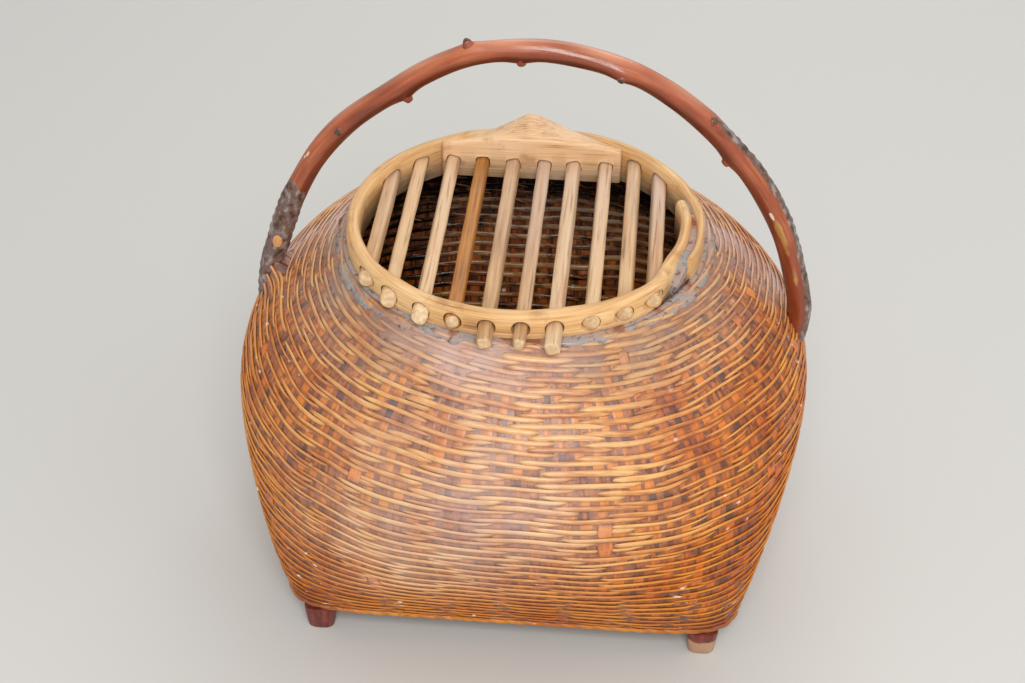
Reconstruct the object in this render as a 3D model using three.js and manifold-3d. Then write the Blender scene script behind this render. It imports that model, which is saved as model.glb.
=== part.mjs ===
// A woven bamboo basket with a barred mouth: a lacquered wall on four corner feet, a bent rim strip,
// ten rods that slide through the rim as a grille, and a bent branch for a handle.
// Millimetres, +Z up, -Y towards the front, origin on the ground under the middle of the basket.

import * as THREE from 'three';
import { mergeVertices } from 'three/addons/utils/BufferGeometryUtils.js';
import Module from 'manifold-3d';

// Fits
const SEAT_GAP = 0.4; // between pieces that touch
const ROD_REST_GAP = 0.3; // between a rod and the bottom of its hole

// Woven wall. Flare is how fast the wall leaves the base edge, fall how fast it reaches the neck.
const FOOT_HEIGHT = 19;
const BELLY_HEIGHT = 147;
const NECK_HEIGHT = 235.5;
const WIDTH = { base: 142, belly: 173.5, flare: 1.1, fall: 2.0 }; // half sizes, left to right
const DEPTH = { base: 108, belly: 165.5, flare: 1.4, fall: 2.3 }; // half sizes, front to back
const BASE_SQUARENESS = 7; // added to the exponent 2 of an ellipse at the base
const SQUARENESS_FADE = 39; // height in which it falls to a third
const WALL = 3.5;
const ROW_RIBS = 15; // raised rows of the weave, each standing for two of its fine rows
const RIB_HEIGHT = 0.9;
const NECK_WALL = 2.2;
const NECK_SEAT = 7; // height of the thick border that the rim strip stands in
const BORDER_FADE = 8; // height below the seat in which the border thins to the wall
const FLOOR_THICKNESS = 4;

// Corner feet
const FOOT_INSET = { width: 23, depth: 9.5 }; // from the base edge to the middle of a foot
const FOOT_TOP = { width: 20, depth: 18 };
const FOOT_SOLE = { width: 16, depth: 14 };
const FOOT_EDGE = 2; // worn edge round the sole
const FOOT_SQUARENESS = 4;
const TENON_DIAMETER = 8;
const TENON_HEIGHT = 18; // above the floor panel
const TENON_INSET = 4; // from the middle of the foot towards the middle of the basket

// Rim strip: one turn and a lap, the inner end at the right, the outer end further to the front
const MOUTH_HALF_WIDTH = 105; // over the strip
const MOUTH_HALF_DEPTH = 99.5;
const STRIP_THICKNESS = 8;
const STRIP_HEIGHT = 24;
const STRIP_ABOVE_NECK = 15.5;
const STRIP_ROUND = 2.2; // of its top edges
const LAP_START = 15; // degrees from +X towards the back
const LAP_ANGLE = 36; // degrees that the two ends run side by side
const LAP_EASE = 26; // degrees in which the inner end comes out to the rim's line
const LAP_GAP = 1.6; // between the two ends
const LAP_THICKNESS = 6.4; // of the strip where it is lapped
const TAIL_THICKNESS = 3; // of the outer end
const STRIP_STEPS = 96;

// Grille rods, left to right
const ROD_COUNT = 10;
const ROD_DIAMETER = 9;
const ROD_EDGE_SPACE = 22.2; // from the rim's outside to the middle of the first and last rod
const ROD_SHIFT = -4; // of the whole row towards the left
const ROD_DRIFT = [1.8, -1.6, -0.5, -0.4, 0.2, 0.8, 0.7, 1.7, 1.1, -1.8]; // off an even spacing
const ROD_SWELL = [0.2, -0.2, 0.4, 0.2, -0.6, -0.6, -0.2, 0.4, 0.2, 0]; // of each diameter
const ROD_OVERHANG = [3.5, 6, 7, 2, 14, 13, 18, -1, -1, -1]; // in front of the rim
const ROD_CHAMFER = 0.8;
const HOLE_DIAMETER = 10.6;
const HOLE_DROP = 9.5; // from the top of the strip to the middle of the holes

// Back board: a half-moon block with a straight front and a peak at the back
const BOARD_DEPTH = 24; // at its middle
const BOARD_BOTTOM_DROP = 20; // below the top of the strip
const BOARD_FRONT_RISE = 3; // of its front edge above the top of the strip, at the ends
const BOARD_CROWN = 6; // more at the middle
const BOARD_PEAK = 14; // of its back edge above the top of the strip
const BOARD_PEAK_SHIFT = -4;
const BOARD_PEAK_REACH = 45; // half width of the peak
const BOARD_PEAK_HOLLOW = 1.5; // above 1 its slopes are hollow
const BOARD_FIRST_ROD = 2; // the rods from here
const BOARD_LAST_ROD = 7; // to here end in it
const BOARD_LEFT_MARGIN = 7; // past the middle of its first rod
const BOARD_RIGHT_MARGIN = 9.5;
const BOARD_CHAMFER = 1.2;
const SOCKET_DEPTH = 7;
const SOCKET_CLEARANCE = 0.5; // between a rod's back end and the bottom of its socket
const BOARD_STEPS = 28;

// Handle: a branch bent to about a half circle. Bends are its departures from that circle.
const HANDLE_SPRING_HEIGHT = 192;
const HANDLE_SHIFT = 3; // towards the right
const HANDLE_OUTSET = 3; // of its middle line from the wall at the spring height
const HANDLE_DIAMETER = 12.8;
const BARK_DIAMETER = 13.8; // of its ends, where the bark is left on
const BARK_LEFT = 151; // degrees along the arch
const BARK_RIGHT = 42;
const BARK_FADE = 14; // degrees in which it thins to the bare wood
const BEND_ANGLES = [-16, 0, 8, 25, 45, 72, 104, 120, 136, 155, 168, 180, 196]; // degrees from +X
const BEND_LENGTHS = [-1, 2, -0.5, -2.5, -1.5, 5.5, 5, -2.5, -4, -6, -5, 0, 0]; // outwards
const HANDLE_STEPS = 60;
const HANDLE_SIDES = 12;
const HANDLE_END_SHARE = 0.25; // of its length at either end, where it may pass the wall
// Knots and cut twigs: degrees along the arch, degrees round the branch from its outer side towards
// the front, diameter at the root and height
const KNOT_ANGLES = [134, 118, 101.5, 92, 72, 52, 42.5];
const KNOT_ROLLS = [80, 175, 10, 165, 115, 40, 165];
const KNOT_DIAMETERS = [8, 7, 7, 8, 7, 8, 8];
const KNOT_HEIGHTS = [2.2, 4, 4.5, 3, 2.4, 2.4, 3.2];
const KNOT_TAPER = 0.62;
const KNOT_SIDES = 8;
const PEG_ANGLE = 167; // degrees along the arch
const PEG_DIAMETER = 7;
const PEG_STANDOUT = 1.6; // at either side of the branch

const WALL_SIDES = 72;
const WALL_RINGS = 13;
const CUT_SIDES = 20;
const ROD_SIDES = 14;
const HALVINGS = 30;

const wasm = await Module();
wasm.setup();

const FULL_TURN = 360;
const degrees = THREE.MathUtils.degToRad;
const smooth = (x) => THREE.MathUtils.smoothstep(x, 0, 1);
const vec = (x, y, z) => new THREE.Vector3(x, y, z);

// Closed skin over rings of points, each counted the same way round. A loop of rings closes on itself;
// otherwise a fan closes each end.
function loft(rings, loop = false) {
  const count = rings[0].length;
  const points = rings.flat();
  const index = [];
  const spans = loop ? rings.length : rings.length - 1;
  for (let ring = 0; ring < spans; ring++) {
    const here = ring * count;
    const next = ((ring + 1) % rings.length) * count;
    for (let i = 0; i < count; i++) {
      const j = (i + 1) % count;
      index.push(here + i, here + j, next + j, here + i, next + j, next + i);
    }
  }
  if (!loop) {
    const lastRing = (rings.length - 1) * count;
    const middle = (ring) => ring.reduce((sum, p) => sum.add(p), vec(0, 0, 0)).divideScalar(count);
    points.push(middle(rings[0]), middle(rings[rings.length - 1]));
    for (let i = 0; i < count; i++) {
      const j = (i + 1) % count;
      index.push(points.length - 2, j, i);
      index.push(points.length - 1, lastRing + i, lastRing + j);
    }
  }
  const geometry = new THREE.BufferGeometry().setFromPoints(points);
  geometry.setIndex(index);
  return facingOut(geometry);
}

// The same closed skin with its faces turned outwards, told by the sign of its volume.
function facingOut(geometry) {
  const position = geometry.getAttribute('position');
  const index = Array.from(geometry.getIndex().array);
  const corner = (i) => new THREE.Vector3().fromBufferAttribute(position, index[i]);
  let volume = 0;
  for (let i = 0; i < index.length; i += 3) {
    volume += corner(i).dot(corner(i + 1).cross(corner(i + 2)));
  }
  geometry.setIndex(volume < 0 ? index.reverse() : index);
  return geometry;
}

function toSolid(geometry) {
  const bare = geometry.clone();
  bare.deleteAttribute('normal');
  bare.deleteAttribute('uv');
  const merged = mergeVertices(bare);
  return new wasm.Manifold(new wasm.Mesh({
    numProp: 3,
    vertProperties: new Float32Array(merged.getAttribute('position').array),
    triVerts: new Uint32Array(merged.getIndex().array),
  }));
}

function toGeometry(solid) {
  const mesh = solid.getMesh();
  const geometry = new THREE.BufferGeometry();
  geometry.setAttribute('position', new THREE.BufferAttribute(mesh.vertProperties, 3));
  geometry.setIndex(new THREE.BufferAttribute(mesh.triVerts, 1));
  return geometry;
}

const cut = (geometry, tools) =>
  toGeometry(tools.reduce((solid, tool) => solid.subtract(toSolid(tool)), toSolid(geometry)));
const join = (geometry, others) =>
  toGeometry(others.reduce((solid, other) => solid.add(toSolid(other)), toSolid(geometry)));

// A round bar along Y, between two places on it.
function barAlongY(diameter, x, z, from, to, sides) {
  const bar = new THREE.CylinderGeometry(diameter / 2, diameter / 2, to - from, sides);
  return bar.translate(x, (from + to) / 2, z);
}

const group = new THREE.Group();

function add(name, geometry, colour, roughness) {
  const material = new THREE.MeshStandardMaterial({ color: colour, roughness, metalness: 0 });
  const mesh = new THREE.Mesh(geometry, material);
  mesh.name = name;
  group.add(mesh);
}

// Basket wall

// Half size of the wall's outside at a height: a cubic from the base edge out to the belly, and
// another from the belly in to the neck.
function wallHalf(size, neck, z) {
  if (z < BELLY_HEIGHT) {
    const t = (z - FOOT_HEIGHT) / (BELLY_HEIGHT - FOOT_HEIGHT);
    const ease = t * t * (3 - 2 * t) + size.flare * t * (1 - t) * (1 - t);
    return size.base + (size.belly - size.base) * ease;
  }
  const t = (z - BELLY_HEIGHT) / (NECK_HEIGHT - BELLY_HEIGHT);
  const ease = t * t * (3 - 2 * t) - size.fall * t * t * (1 - t);
  return size.belly + (neck - size.belly) * ease;
}

const NECK_HALF_WIDTH = MOUTH_HALF_WIDTH + SEAT_GAP + NECK_WALL;
const NECK_HALF_DEPTH = MOUTH_HALF_DEPTH + SEAT_GAP + NECK_WALL;
const wallHalfWidth = (z) => wallHalf(WIDTH, NECK_HALF_WIDTH, z);
const wallHalfDepth = (z) => wallHalf(DEPTH, NECK_HALF_DEPTH, z);
const squareness = (z) => 2 + BASE_SQUARENESS * Math.exp((FOOT_HEIGHT - z) / SQUARENESS_FADE);

// Level outline |x/a|^n + |y/b|^n = 1, at even angles.
function superEllipse(a, b, n, z, sides) {
  return Array.from({ length: sides }, (_, i) => {
    const angle = (2 * Math.PI * i) / sides;
    const c = Math.cos(angle);
    const s = Math.sin(angle);
    const reach = (Math.abs(c / a) ** n + Math.abs(s / b) ** n) ** (-1 / n);
    return vec(reach * c, reach * s, z);
  });
}

// The wall's level outline, set in from its outside.
const wallRing = (z, inset) => superEllipse(
  wallHalfWidth(z) - inset, wallHalfDepth(z) - inset, squareness(z), z, WALL_SIDES,
);

// Inside of the wall: the plain wall up to the border, which fills out to the rim strip's seat.
function insideRing(z) {
  const seatFoot = NECK_HEIGHT - NECK_SEAT;
  const share = smooth((z - seatFoot + BORDER_FADE) / BORDER_FADE);
  const mix = (half, seat) => THREE.MathUtils.lerp(half - WALL, seat + SEAT_GAP, share);
  return superEllipse(
    mix(wallHalfWidth(z), MOUTH_HALF_WIDTH),
    mix(wallHalfDepth(z), MOUTH_HALF_DEPTH),
    squareness(z), z, WALL_SIDES,
  );
}

// The outside rises and falls once for each raised row, and is full out at the base edge and the neck.
function wovenWall() {
  const plainTop = NECK_HEIGHT - NECK_SEAT - BORDER_FADE;
  const between = (low, high, count) =>
    Array.from({ length: count }, (_, i) => THREE.MathUtils.lerp(low, high, i / (count - 1)));
  const outside = between(FOOT_HEIGHT, NECK_HEIGHT, 2 * ROW_RIBS + 1);
  const inside = [
    NECK_HEIGHT,
    NECK_HEIGHT - NECK_SEAT,
    NECK_HEIGHT - NECK_SEAT - BORDER_FADE / 2,
    ...between(FOOT_HEIGHT, plainTop, WALL_RINGS - 2).reverse(),
  ];
  const shell = loft([
    ...outside.map((z, i) => wallRing(z, i % 2 === 0 ? 0 : RIB_HEIGHT)),
    ...inside.map((z) => insideRing(z)),
  ], true);
  return cut(shell, [handleTube(-1, SEAT_GAP), handleTube(1, SEAT_GAP)]);
}

// Floor panel and feet

const FOOT_X = WIDTH.base - FOOT_INSET.width;
const FOOT_Y = DEPTH.base - FOOT_INSET.depth;
const footCorners = [
  ['front_left', -1, -1], ['front_right', 1, -1], ['back_left', -1, 1], ['back_right', 1, 1],
];
const tenonX = FOOT_X - TENON_INSET;
const tenonY = FOOT_Y - TENON_INSET;

function wovenFloor() {
  const inset = WALL + SEAT_GAP;
  const level = (z) => superEllipse(
    WIDTH.base - inset, DEPTH.base - inset, squareness(FOOT_HEIGHT), z, WALL_SIDES,
  );
  const panel = loft([level(FOOT_HEIGHT), level(FOOT_HEIGHT + FLOOR_THICKNESS)]);
  return cut(panel, footCorners.map(([, sideX, sideY]) => tenon(sideX, sideY, SEAT_GAP)));
}

// The round shank of a foot, from inside its block to above the floor panel, swollen by a gap.
function tenon(sideX, sideY, gap) {
  const bottom = FOOT_HEIGHT / 2;
  const top = FOOT_HEIGHT + FLOOR_THICKNESS + TENON_HEIGHT;
  const radius = TENON_DIAMETER / 2 + gap;
  const shank = new THREE.CylinderGeometry(radius, radius, top - bottom, CUT_SIDES);
  return shank.rotateX(Math.PI / 2).translate(sideX * tenonX, sideY * tenonY, (top + bottom) / 2);
}

// A tapered block under the corner, with a tenon up through the floor panel.
function cornerFoot(sideX, sideY) {
  const level = (size, z, inset) => superEllipse(
    size.width / 2 - inset, size.depth / 2 - inset, FOOT_SQUARENESS, z, CUT_SIDES,
  ).map((p) => p.add(vec(sideX * FOOT_X, sideY * FOOT_Y, 0)));
  const top = FOOT_HEIGHT - SEAT_GAP;
  const block = loft([
    level(FOOT_SOLE, 0, FOOT_EDGE / 2),
    level(FOOT_SOLE, FOOT_EDGE, 0),
    level(FOOT_TOP, top, 0),
  ]);
  return join(block, [tenon(sideX, sideY, 0)]);
}

// Rim strip

const RIM_TOP = NECK_HEIGHT + STRIP_ABOVE_NECK;
const HOLE_HEIGHT = RIM_TOP - HOLE_DROP;

// Depth of an ellipse at x, from the middle of the mouth.
const chordDepth = (halfWidth, halfDepth, x) => halfDepth * Math.sqrt(1 - (x / halfWidth) ** 2);
const rimOutside = (x) => chordDepth(MOUTH_HALF_WIDTH, MOUTH_HALF_DEPTH, x);
const rimInside = (x) => chordDepth(
  MOUTH_HALF_WIDTH - STRIP_THICKNESS, MOUTH_HALF_DEPTH - STRIP_THICKNESS, x,
);

// Cross-sections of the strip, from its inner end at the right round by the front, the left and the
// back to its outer end. The inner end lies inside the outer one by the lap's thickness and gap.
function rimHoop() {
  const turn = FULL_TURN + LAP_ANGLE;
  const halfWidth = MOUTH_HALF_WIDTH - STRIP_THICKNESS / 2;
  const halfDepth = MOUTH_HALF_DEPTH - STRIP_THICKNESS / 2;
  const bottom = RIM_TOP - STRIP_HEIGHT;
  const shoulder = RIM_TOP - STRIP_ROUND;
  const rings = [];
  for (let step = 0; step <= STRIP_STEPS; step++) {
    const travelled = (turn * step) / STRIP_STEPS;
    const angle = degrees(LAP_START - travelled);
    const inLap = 1 - smooth((travelled - LAP_ANGLE) / LAP_EASE);
    const outLap = smooth((travelled - FULL_TURN + LAP_EASE) / LAP_EASE);
    const tail = smooth((travelled - FULL_TURN) / LAP_ANGLE);
    let thickness = STRIP_THICKNESS;
    thickness -= (STRIP_THICKNESS - LAP_THICKNESS) * Math.max(inLap, outLap);
    thickness -= (LAP_THICKNESS - TAIL_THICKNESS) * tail;
    const outer = STRIP_THICKNESS / 2 - (LAP_THICKNESS + LAP_GAP) * inLap;
    const inner = outer - thickness;
    const normal = vec(halfDepth * Math.cos(angle), halfWidth * Math.sin(angle), 0).normalize();
    const middle = vec(halfWidth * Math.cos(angle), halfDepth * Math.sin(angle), 0);
    const at = (out, z) => middle.clone().addScaledVector(normal, out).setZ(z);
    const round = Math.min(STRIP_ROUND, thickness / 3);
    rings.push([
      at(inner, bottom), at(outer, bottom), at(outer, shoulder),
      at(outer - round, RIM_TOP), at(inner + round, RIM_TOP), at(inner, shoulder),
    ]);
  }
  const drills = rods.map((rod) =>
    barAlongY(HOLE_DIAMETER, rod.x, HOLE_HEIGHT, -rimOutside(rod.x) - STRIP_THICKNESS, 0, CUT_SIDES));
  for (const rod of rods.filter((each) => !each.inBoard)) {
    const past = rimOutside(rod.x) + STRIP_THICKNESS;
    drills.push(barAlongY(HOLE_DIAMETER, rod.x, HOLE_HEIGHT, 0, past, CUT_SIDES));
  }
  return cut(loft(rings), drills);
}

// Grille rods

const boardFront = MOUTH_HALF_DEPTH - STRIP_THICKNESS - BOARD_DEPTH;
const rodPitch = (2 * (MOUTH_HALF_WIDTH - ROD_EDGE_SPACE)) / (ROD_COUNT - 1);

const rods = Array.from({ length: ROD_COUNT }, (_, i) => {
  const x = ROD_SHIFT + rodPitch * (i - (ROD_COUNT - 1) / 2) + ROD_DRIFT[i];
  const diameter = ROD_DIAMETER + ROD_SWELL[i];
  const inBoard = i >= BOARD_FIRST_ROD && i <= BOARD_LAST_ROD;
  return {
    name: `rod_${String(i + 1).padStart(2, '0')}`,
    x,
    z: HOLE_HEIGHT - (HOLE_DIAMETER - diameter) / 2 + ROD_REST_GAP,
    diameter,
    inBoard,
    front: -rimOutside(x) - ROD_OVERHANG[i],
    back: inBoard
      ? boardFront + SOCKET_DEPTH - SOCKET_CLEARANCE
      : (rimInside(x) + rimOutside(x)) / 2,
  };
});

function grilleRod(rod) {
  const radius = rod.diameter / 2;
  const length = rod.back - rod.front;
  const profile = [
    new THREE.Vector2(0, 0),
    new THREE.Vector2(radius - ROD_CHAMFER, 0),
    new THREE.Vector2(radius, ROD_CHAMFER),
    new THREE.Vector2(radius, length - ROD_CHAMFER),
    new THREE.Vector2(radius - ROD_CHAMFER, length),
    new THREE.Vector2(0, length),
  ];
  return new THREE.LatheGeometry(profile, ROD_SIDES).translate(rod.x, rod.front, rod.z);
}

// Back board

// Upright sections from the left end to the right: a straight front, a back that follows the inside of
// the rim strip, and a top that is crowned in front and rises to the peak at the back.
function backBoard() {
  const left = rods[BOARD_FIRST_ROD].x - BOARD_LEFT_MARGIN;
  const right = rods[BOARD_LAST_ROD].x + BOARD_RIGHT_MARGIN;
  const bottom = RIM_TOP - BOARD_BOTTOM_DROP;
  const rings = [];
  for (let step = 0; step <= BOARD_STEPS; step++) {
    const x = THREE.MathUtils.lerp(left, right, step / BOARD_STEPS);
    const across = (2 * step) / BOARD_STEPS - 1;
    const frontTop = RIM_TOP + BOARD_FRONT_RISE + BOARD_CROWN * (1 - across * across);
    const fromPeak = Math.min(1, Math.abs(x - BOARD_PEAK_SHIFT) / BOARD_PEAK_REACH);
    const backTop = RIM_TOP + BOARD_PEAK * (1 - fromPeak) ** BOARD_PEAK_HOLLOW;
    const back = rimInside(x) - SEAT_GAP;
    rings.push([
      vec(x, boardFront, bottom), vec(x, back, bottom), vec(x, back, backTop),
      vec(x, boardFront + BOARD_CHAMFER, frontTop), vec(x, boardFront, frontTop - BOARD_CHAMFER),
    ]);
  }
  const sockets = rods.filter((rod) => rod.inBoard).map((rod) =>
    barAlongY(HOLE_DIAMETER, rod.x, HOLE_HEIGHT, 0, boardFront + SOCKET_DEPTH, CUT_SIDES));
  return cut(loft(rings), sockets);
}

// Handle

const handleRadius = wallHalfWidth(HANDLE_SPRING_HEIGHT) + HANDLE_OUTSET;
const handleLine = new THREE.CatmullRomCurve3(BEND_ANGLES.map((angle, i) => vec(
  HANDLE_SHIFT + (handleRadius + BEND_LENGTHS[i]) * Math.cos(degrees(angle)),
  0,
  HANDLE_SPRING_HEIGHT + (handleRadius + BEND_LENGTHS[i]) * Math.sin(degrees(angle)),
)));

// Place on the branch's middle line at an angle of the arch, found by halving.
function handlePlace(angle) {
  let low = 0;
  let high = 1;
  for (let turn = 0; turn < HALVINGS; turn++) {
    const half = (low + high) / 2;
    const p = handleLine.getPoint(half);
    const seen = Math.atan2(p.z - HANDLE_SPRING_HEIGHT, p.x - HANDLE_SHIFT);
    const wrapped = seen < -Math.PI / 2 ? seen + 2 * Math.PI : seen;
    if (wrapped < degrees(angle)) low = half;
    else high = half;
  }
  return low;
}

// Ring of the branch at a place on its line, swollen by a gap. Its first point is on the outer side.
function branchRing(place, gap) {
  const middle = handleLine.getPoint(place);
  const along = handleLine.getTangent(place);
  const outward = vec(along.z, 0, -along.x);
  const angle = THREE.MathUtils.radToDeg(
    Math.atan2(middle.z - HANDLE_SPRING_HEIGHT, middle.x - HANDLE_SHIFT),
  );
  const turned = angle < -FULL_TURN / 4 ? angle + FULL_TURN : angle;
  const bark = Math.max(
    smooth((turned - BARK_LEFT + BARK_FADE / 2) / BARK_FADE),
    smooth((BARK_RIGHT + BARK_FADE / 2 - turned) / BARK_FADE),
  );
  const radius = THREE.MathUtils.lerp(HANDLE_DIAMETER, BARK_DIAMETER, bark) / 2 + gap;
  return Array.from({ length: HANDLE_SIDES }, (_, i) => {
    const round = (2 * Math.PI * i) / HANDLE_SIDES;
    return middle.clone()
      .addScaledVector(outward, radius * Math.cos(round))
      .add(vec(0, -radius * Math.sin(round), 0));
  });
}

// The lower end of the branch at one side, swollen by a gap, for the way through the wall.
function handleTube(side, gap) {
  const [from, to] = side > 0 ? [0, HANDLE_END_SHARE] : [1 - HANDLE_END_SHARE, 1];
  const count = Math.round(HANDLE_STEPS * HANDLE_END_SHARE);
  return loft(Array.from({ length: count + 1 }, (_, i) =>
    branchRing(THREE.MathUtils.lerp(from, to, i / count), gap)));
}

function handleKnot(knot) {
  const place = handlePlace(KNOT_ANGLES[knot]);
  const middle = handleLine.getPoint(place);
  const along = handleLine.getTangent(place);
  const outward = vec(along.z, 0, -along.x);
  const roll = degrees(KNOT_ROLLS[knot]);
  const axis = outward.multiplyScalar(Math.cos(roll)).add(vec(0, -Math.sin(roll), 0)).normalize();
  const length = HANDLE_DIAMETER / 2 + KNOT_HEIGHTS[knot];
  const root = KNOT_DIAMETERS[knot] / 2;
  const stub = new THREE.CylinderGeometry(KNOT_TAPER * root, root, length, KNOT_SIDES);
  stub.translate(0, length / 2, 0);
  stub.applyQuaternion(new THREE.Quaternion().setFromUnitVectors(vec(0, 1, 0), axis));
  return stub.translate(middle.x, middle.y, middle.z);
}

const pegPlace = handleLine.getPoint(handlePlace(PEG_ANGLE));
const pegHalfLength = BARK_DIAMETER / 2 + PEG_STANDOUT;

function handleBranch() {
  const rings = Array.from({ length: HANDLE_STEPS + 1 }, (_, i) => branchRing(i / HANDLE_STEPS, 0));
  const knotted = join(loft(rings), KNOT_ANGLES.map((_, knot) => handleKnot(knot)));
  const pegHole = barAlongY(
    PEG_DIAMETER + 2 * SEAT_GAP, pegPlace.x, pegPlace.z, -BARK_DIAMETER, BARK_DIAMETER, CUT_SIDES,
  );
  return cut(knotted, [pegHole]);
}

const handlePeg = () => barAlongY(
  PEG_DIAMETER, pegPlace.x, pegPlace.z, -pegHalfLength, pegHalfLength, CUT_SIDES,
);

const LACQUERED_WEAVE = '#b5733a';
const RIM_BAMBOO = '#d9ae78';
const ROD_STRAW = '#c9a878';
const ROD_AMBER = '#c3893f';
const BRANCH = '#98513a';
const FOOT_WOOD = '#5e2c1c';
const PEG_WOOD = '#c98a50';
const AMBER_ROD = 3;

add('woven_wall', wovenWall(), LACQUERED_WEAVE, 0.45);
add('woven_floor', wovenFloor(), LACQUERED_WEAVE, 0.6);
for (const [corner, sideX, sideY] of footCorners) {
  add(`foot_${corner}`, cornerFoot(sideX, sideY), FOOT_WOOD, 0.5);
}
add('rim_hoop', rimHoop(), RIM_BAMBOO, 0.55);
add('back_board', backBoard(), RIM_BAMBOO, 0.55);
rods.forEach((rod, i) => add(rod.name, grilleRod(rod), i === AMBER_ROD ? ROD_AMBER : ROD_STRAW, 0.5));
add('handle_branch', handleBranch(), BRANCH, 0.5);
add('handle_peg', handlePeg(), PEG_WOOD, 0.7);

export default group;
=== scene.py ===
# A lacquered woven basket with a barred mouth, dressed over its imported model.
# Metres in the scene, +Z up, -Y towards the front. Sizes below are millimetres unless they say so.

import math

import bpy
import numpy as np
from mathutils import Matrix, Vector


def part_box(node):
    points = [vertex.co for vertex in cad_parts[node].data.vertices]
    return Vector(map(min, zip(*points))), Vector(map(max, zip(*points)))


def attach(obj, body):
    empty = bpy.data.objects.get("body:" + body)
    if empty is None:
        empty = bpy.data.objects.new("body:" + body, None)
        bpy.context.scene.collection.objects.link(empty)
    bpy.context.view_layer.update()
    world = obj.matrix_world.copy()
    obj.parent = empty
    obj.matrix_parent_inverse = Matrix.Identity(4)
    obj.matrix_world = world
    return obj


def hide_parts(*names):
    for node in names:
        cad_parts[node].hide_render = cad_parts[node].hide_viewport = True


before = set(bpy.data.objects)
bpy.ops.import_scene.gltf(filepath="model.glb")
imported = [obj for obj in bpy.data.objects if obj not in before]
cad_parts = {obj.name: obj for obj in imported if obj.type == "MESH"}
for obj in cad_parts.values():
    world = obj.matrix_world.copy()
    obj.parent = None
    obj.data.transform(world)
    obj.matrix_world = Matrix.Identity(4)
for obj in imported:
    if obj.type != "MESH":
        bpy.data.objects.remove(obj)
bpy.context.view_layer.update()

# Studio. A plain pale floor under soft light from above, with the camera at the photograph's angle.
# None of this is part of the basket. Places and sizes here are in metres.

MILLIMETRE = 0.001
CAMERA_TARGET = (-0.0075, 0.0, 0.1551)
CAMERA_DISTANCE = 1.1114
CAMERA_AZIMUTH = math.radians(5.2)
CAMERA_ELEVATION = math.radians(38.0)
CAMERA_LENS = 63.2
FLOOR_HALF_WIDTH = 3.0
FLOOR_GREY = (205, 203, 198)
WORLD_LIGHT = 0.58
LAMPS = {
    "key_light": {"place": (0.22, -1.6, 1.7), "size": 0.9, "watts": 31.0},
    "fill_light": {"place": (1.5, -0.6, 1.3), "size": 1.6, "watts": 6.0},
    "back_light": {"place": (0.2, 1.6, 1.5), "size": 1.4, "watts": 10.0},
}


def placed(name, data):
    """An object at the origin of the scene for a camera, a lamp or a mesh."""
    thing = bpy.data.objects.new(name, data)
    bpy.context.scene.collection.objects.link(thing)
    return thing


def tint(screen):
    """Linear colour of a screen colour in 0 to 255, with alpha 1."""
    share = np.array(screen) / 255.0
    linear = np.where(share < 0.04045, share / 12.92, ((share + 0.055) / 1.055) ** 2.4)
    return (*linear.tolist(), 1.0)


def new_finish(name, **constants):
    """A material and its tree of nodes, with the constant sockets of its shader set by name."""
    material = bpy.data.materials.new(name)
    material.use_nodes = True
    shader = material.node_tree.nodes["Principled BSDF"]
    for key, value in constants.items():
        shader.inputs[key.replace("_", " ").title().replace("Ior", "IOR")].default_value = value
    return material, material.node_tree


bpy.context.scene.view_settings.view_transform = "Standard"
camera = placed("camera", bpy.data.cameras.new("camera"))
camera.data.lens = CAMERA_LENS
back_of_camera = Vector((
    math.sin(CAMERA_AZIMUTH) * math.cos(CAMERA_ELEVATION),
    -math.cos(CAMERA_AZIMUTH) * math.cos(CAMERA_ELEVATION),
    math.sin(CAMERA_ELEVATION),
))
camera.location = Vector(CAMERA_TARGET) + CAMERA_DISTANCE * back_of_camera
camera.rotation_euler = back_of_camera.to_track_quat("Z", "Y").to_euler()
bpy.context.scene.camera = camera

for name, lamp in LAMPS.items():
    soft_box = placed(name, bpy.data.lights.new(name, "AREA"))
    soft_box.data.size = lamp["size"]
    soft_box.data.energy = lamp["watts"]
    soft_box.location = lamp["place"]
    aim = Vector(CAMERA_TARGET) - Vector(lamp["place"])
    soft_box.rotation_euler = aim.to_track_quat("-Z", "Y").to_euler()
world = bpy.data.worlds.new("studio")
world.use_nodes = True
background = world.node_tree.nodes["Background"].inputs
background["Color"].default_value = (1.0, 1.0, 1.0, 1.0)
background["Strength"].default_value = WORLD_LIGHT
bpy.context.scene.world = world

floor = placed("studio_floor", bpy.data.meshes.new("studio_floor"))
reach = FLOOR_HALF_WIDTH
floor.data.from_pydata(
    [(-reach, -reach, 0), (reach, -reach, 0), (reach, reach, 0), (-reach, reach, 0)], [], [(0, 1, 2, 3)]
)
floor_paint, _ = new_finish("floor_paint", base_color=tint(FLOOR_GREY), roughness=0.7)
floor.data.materials.append(floor_paint)

# Wall shape. The weave stands on a plain shell: a rounded rectangle at the base, round at the belly,
# drawn in to the mouth. Every splint of the wall is placed on this surface by its share of the way
# round and of the way up.

FOOT_HEIGHT = 19.0
BELLY_HEIGHT = 147.0
NECK_HEIGHT = 235.5
WIDTH = {"base": 142.0, "belly": 173.5, "neck": 107.6, "flare": 1.1, "fall": 2.0}
DEPTH = {"base": 108.0, "belly": 165.5, "neck": 102.1, "flare": 1.4, "fall": 2.3}
BASE_SQUARENESS = 7.0
SQUARENESS_FADE = 39.0
LEVELS = 181
PLACES = 960
LEG_TOPS = {"left": 206.0, "right": 178.0}
LEG_OUTSIDES = {"left": 160.5, "right": 166.8}
LEG_HALF_WIDTH = 9.0
LEG_MOST = 20.0


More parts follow.
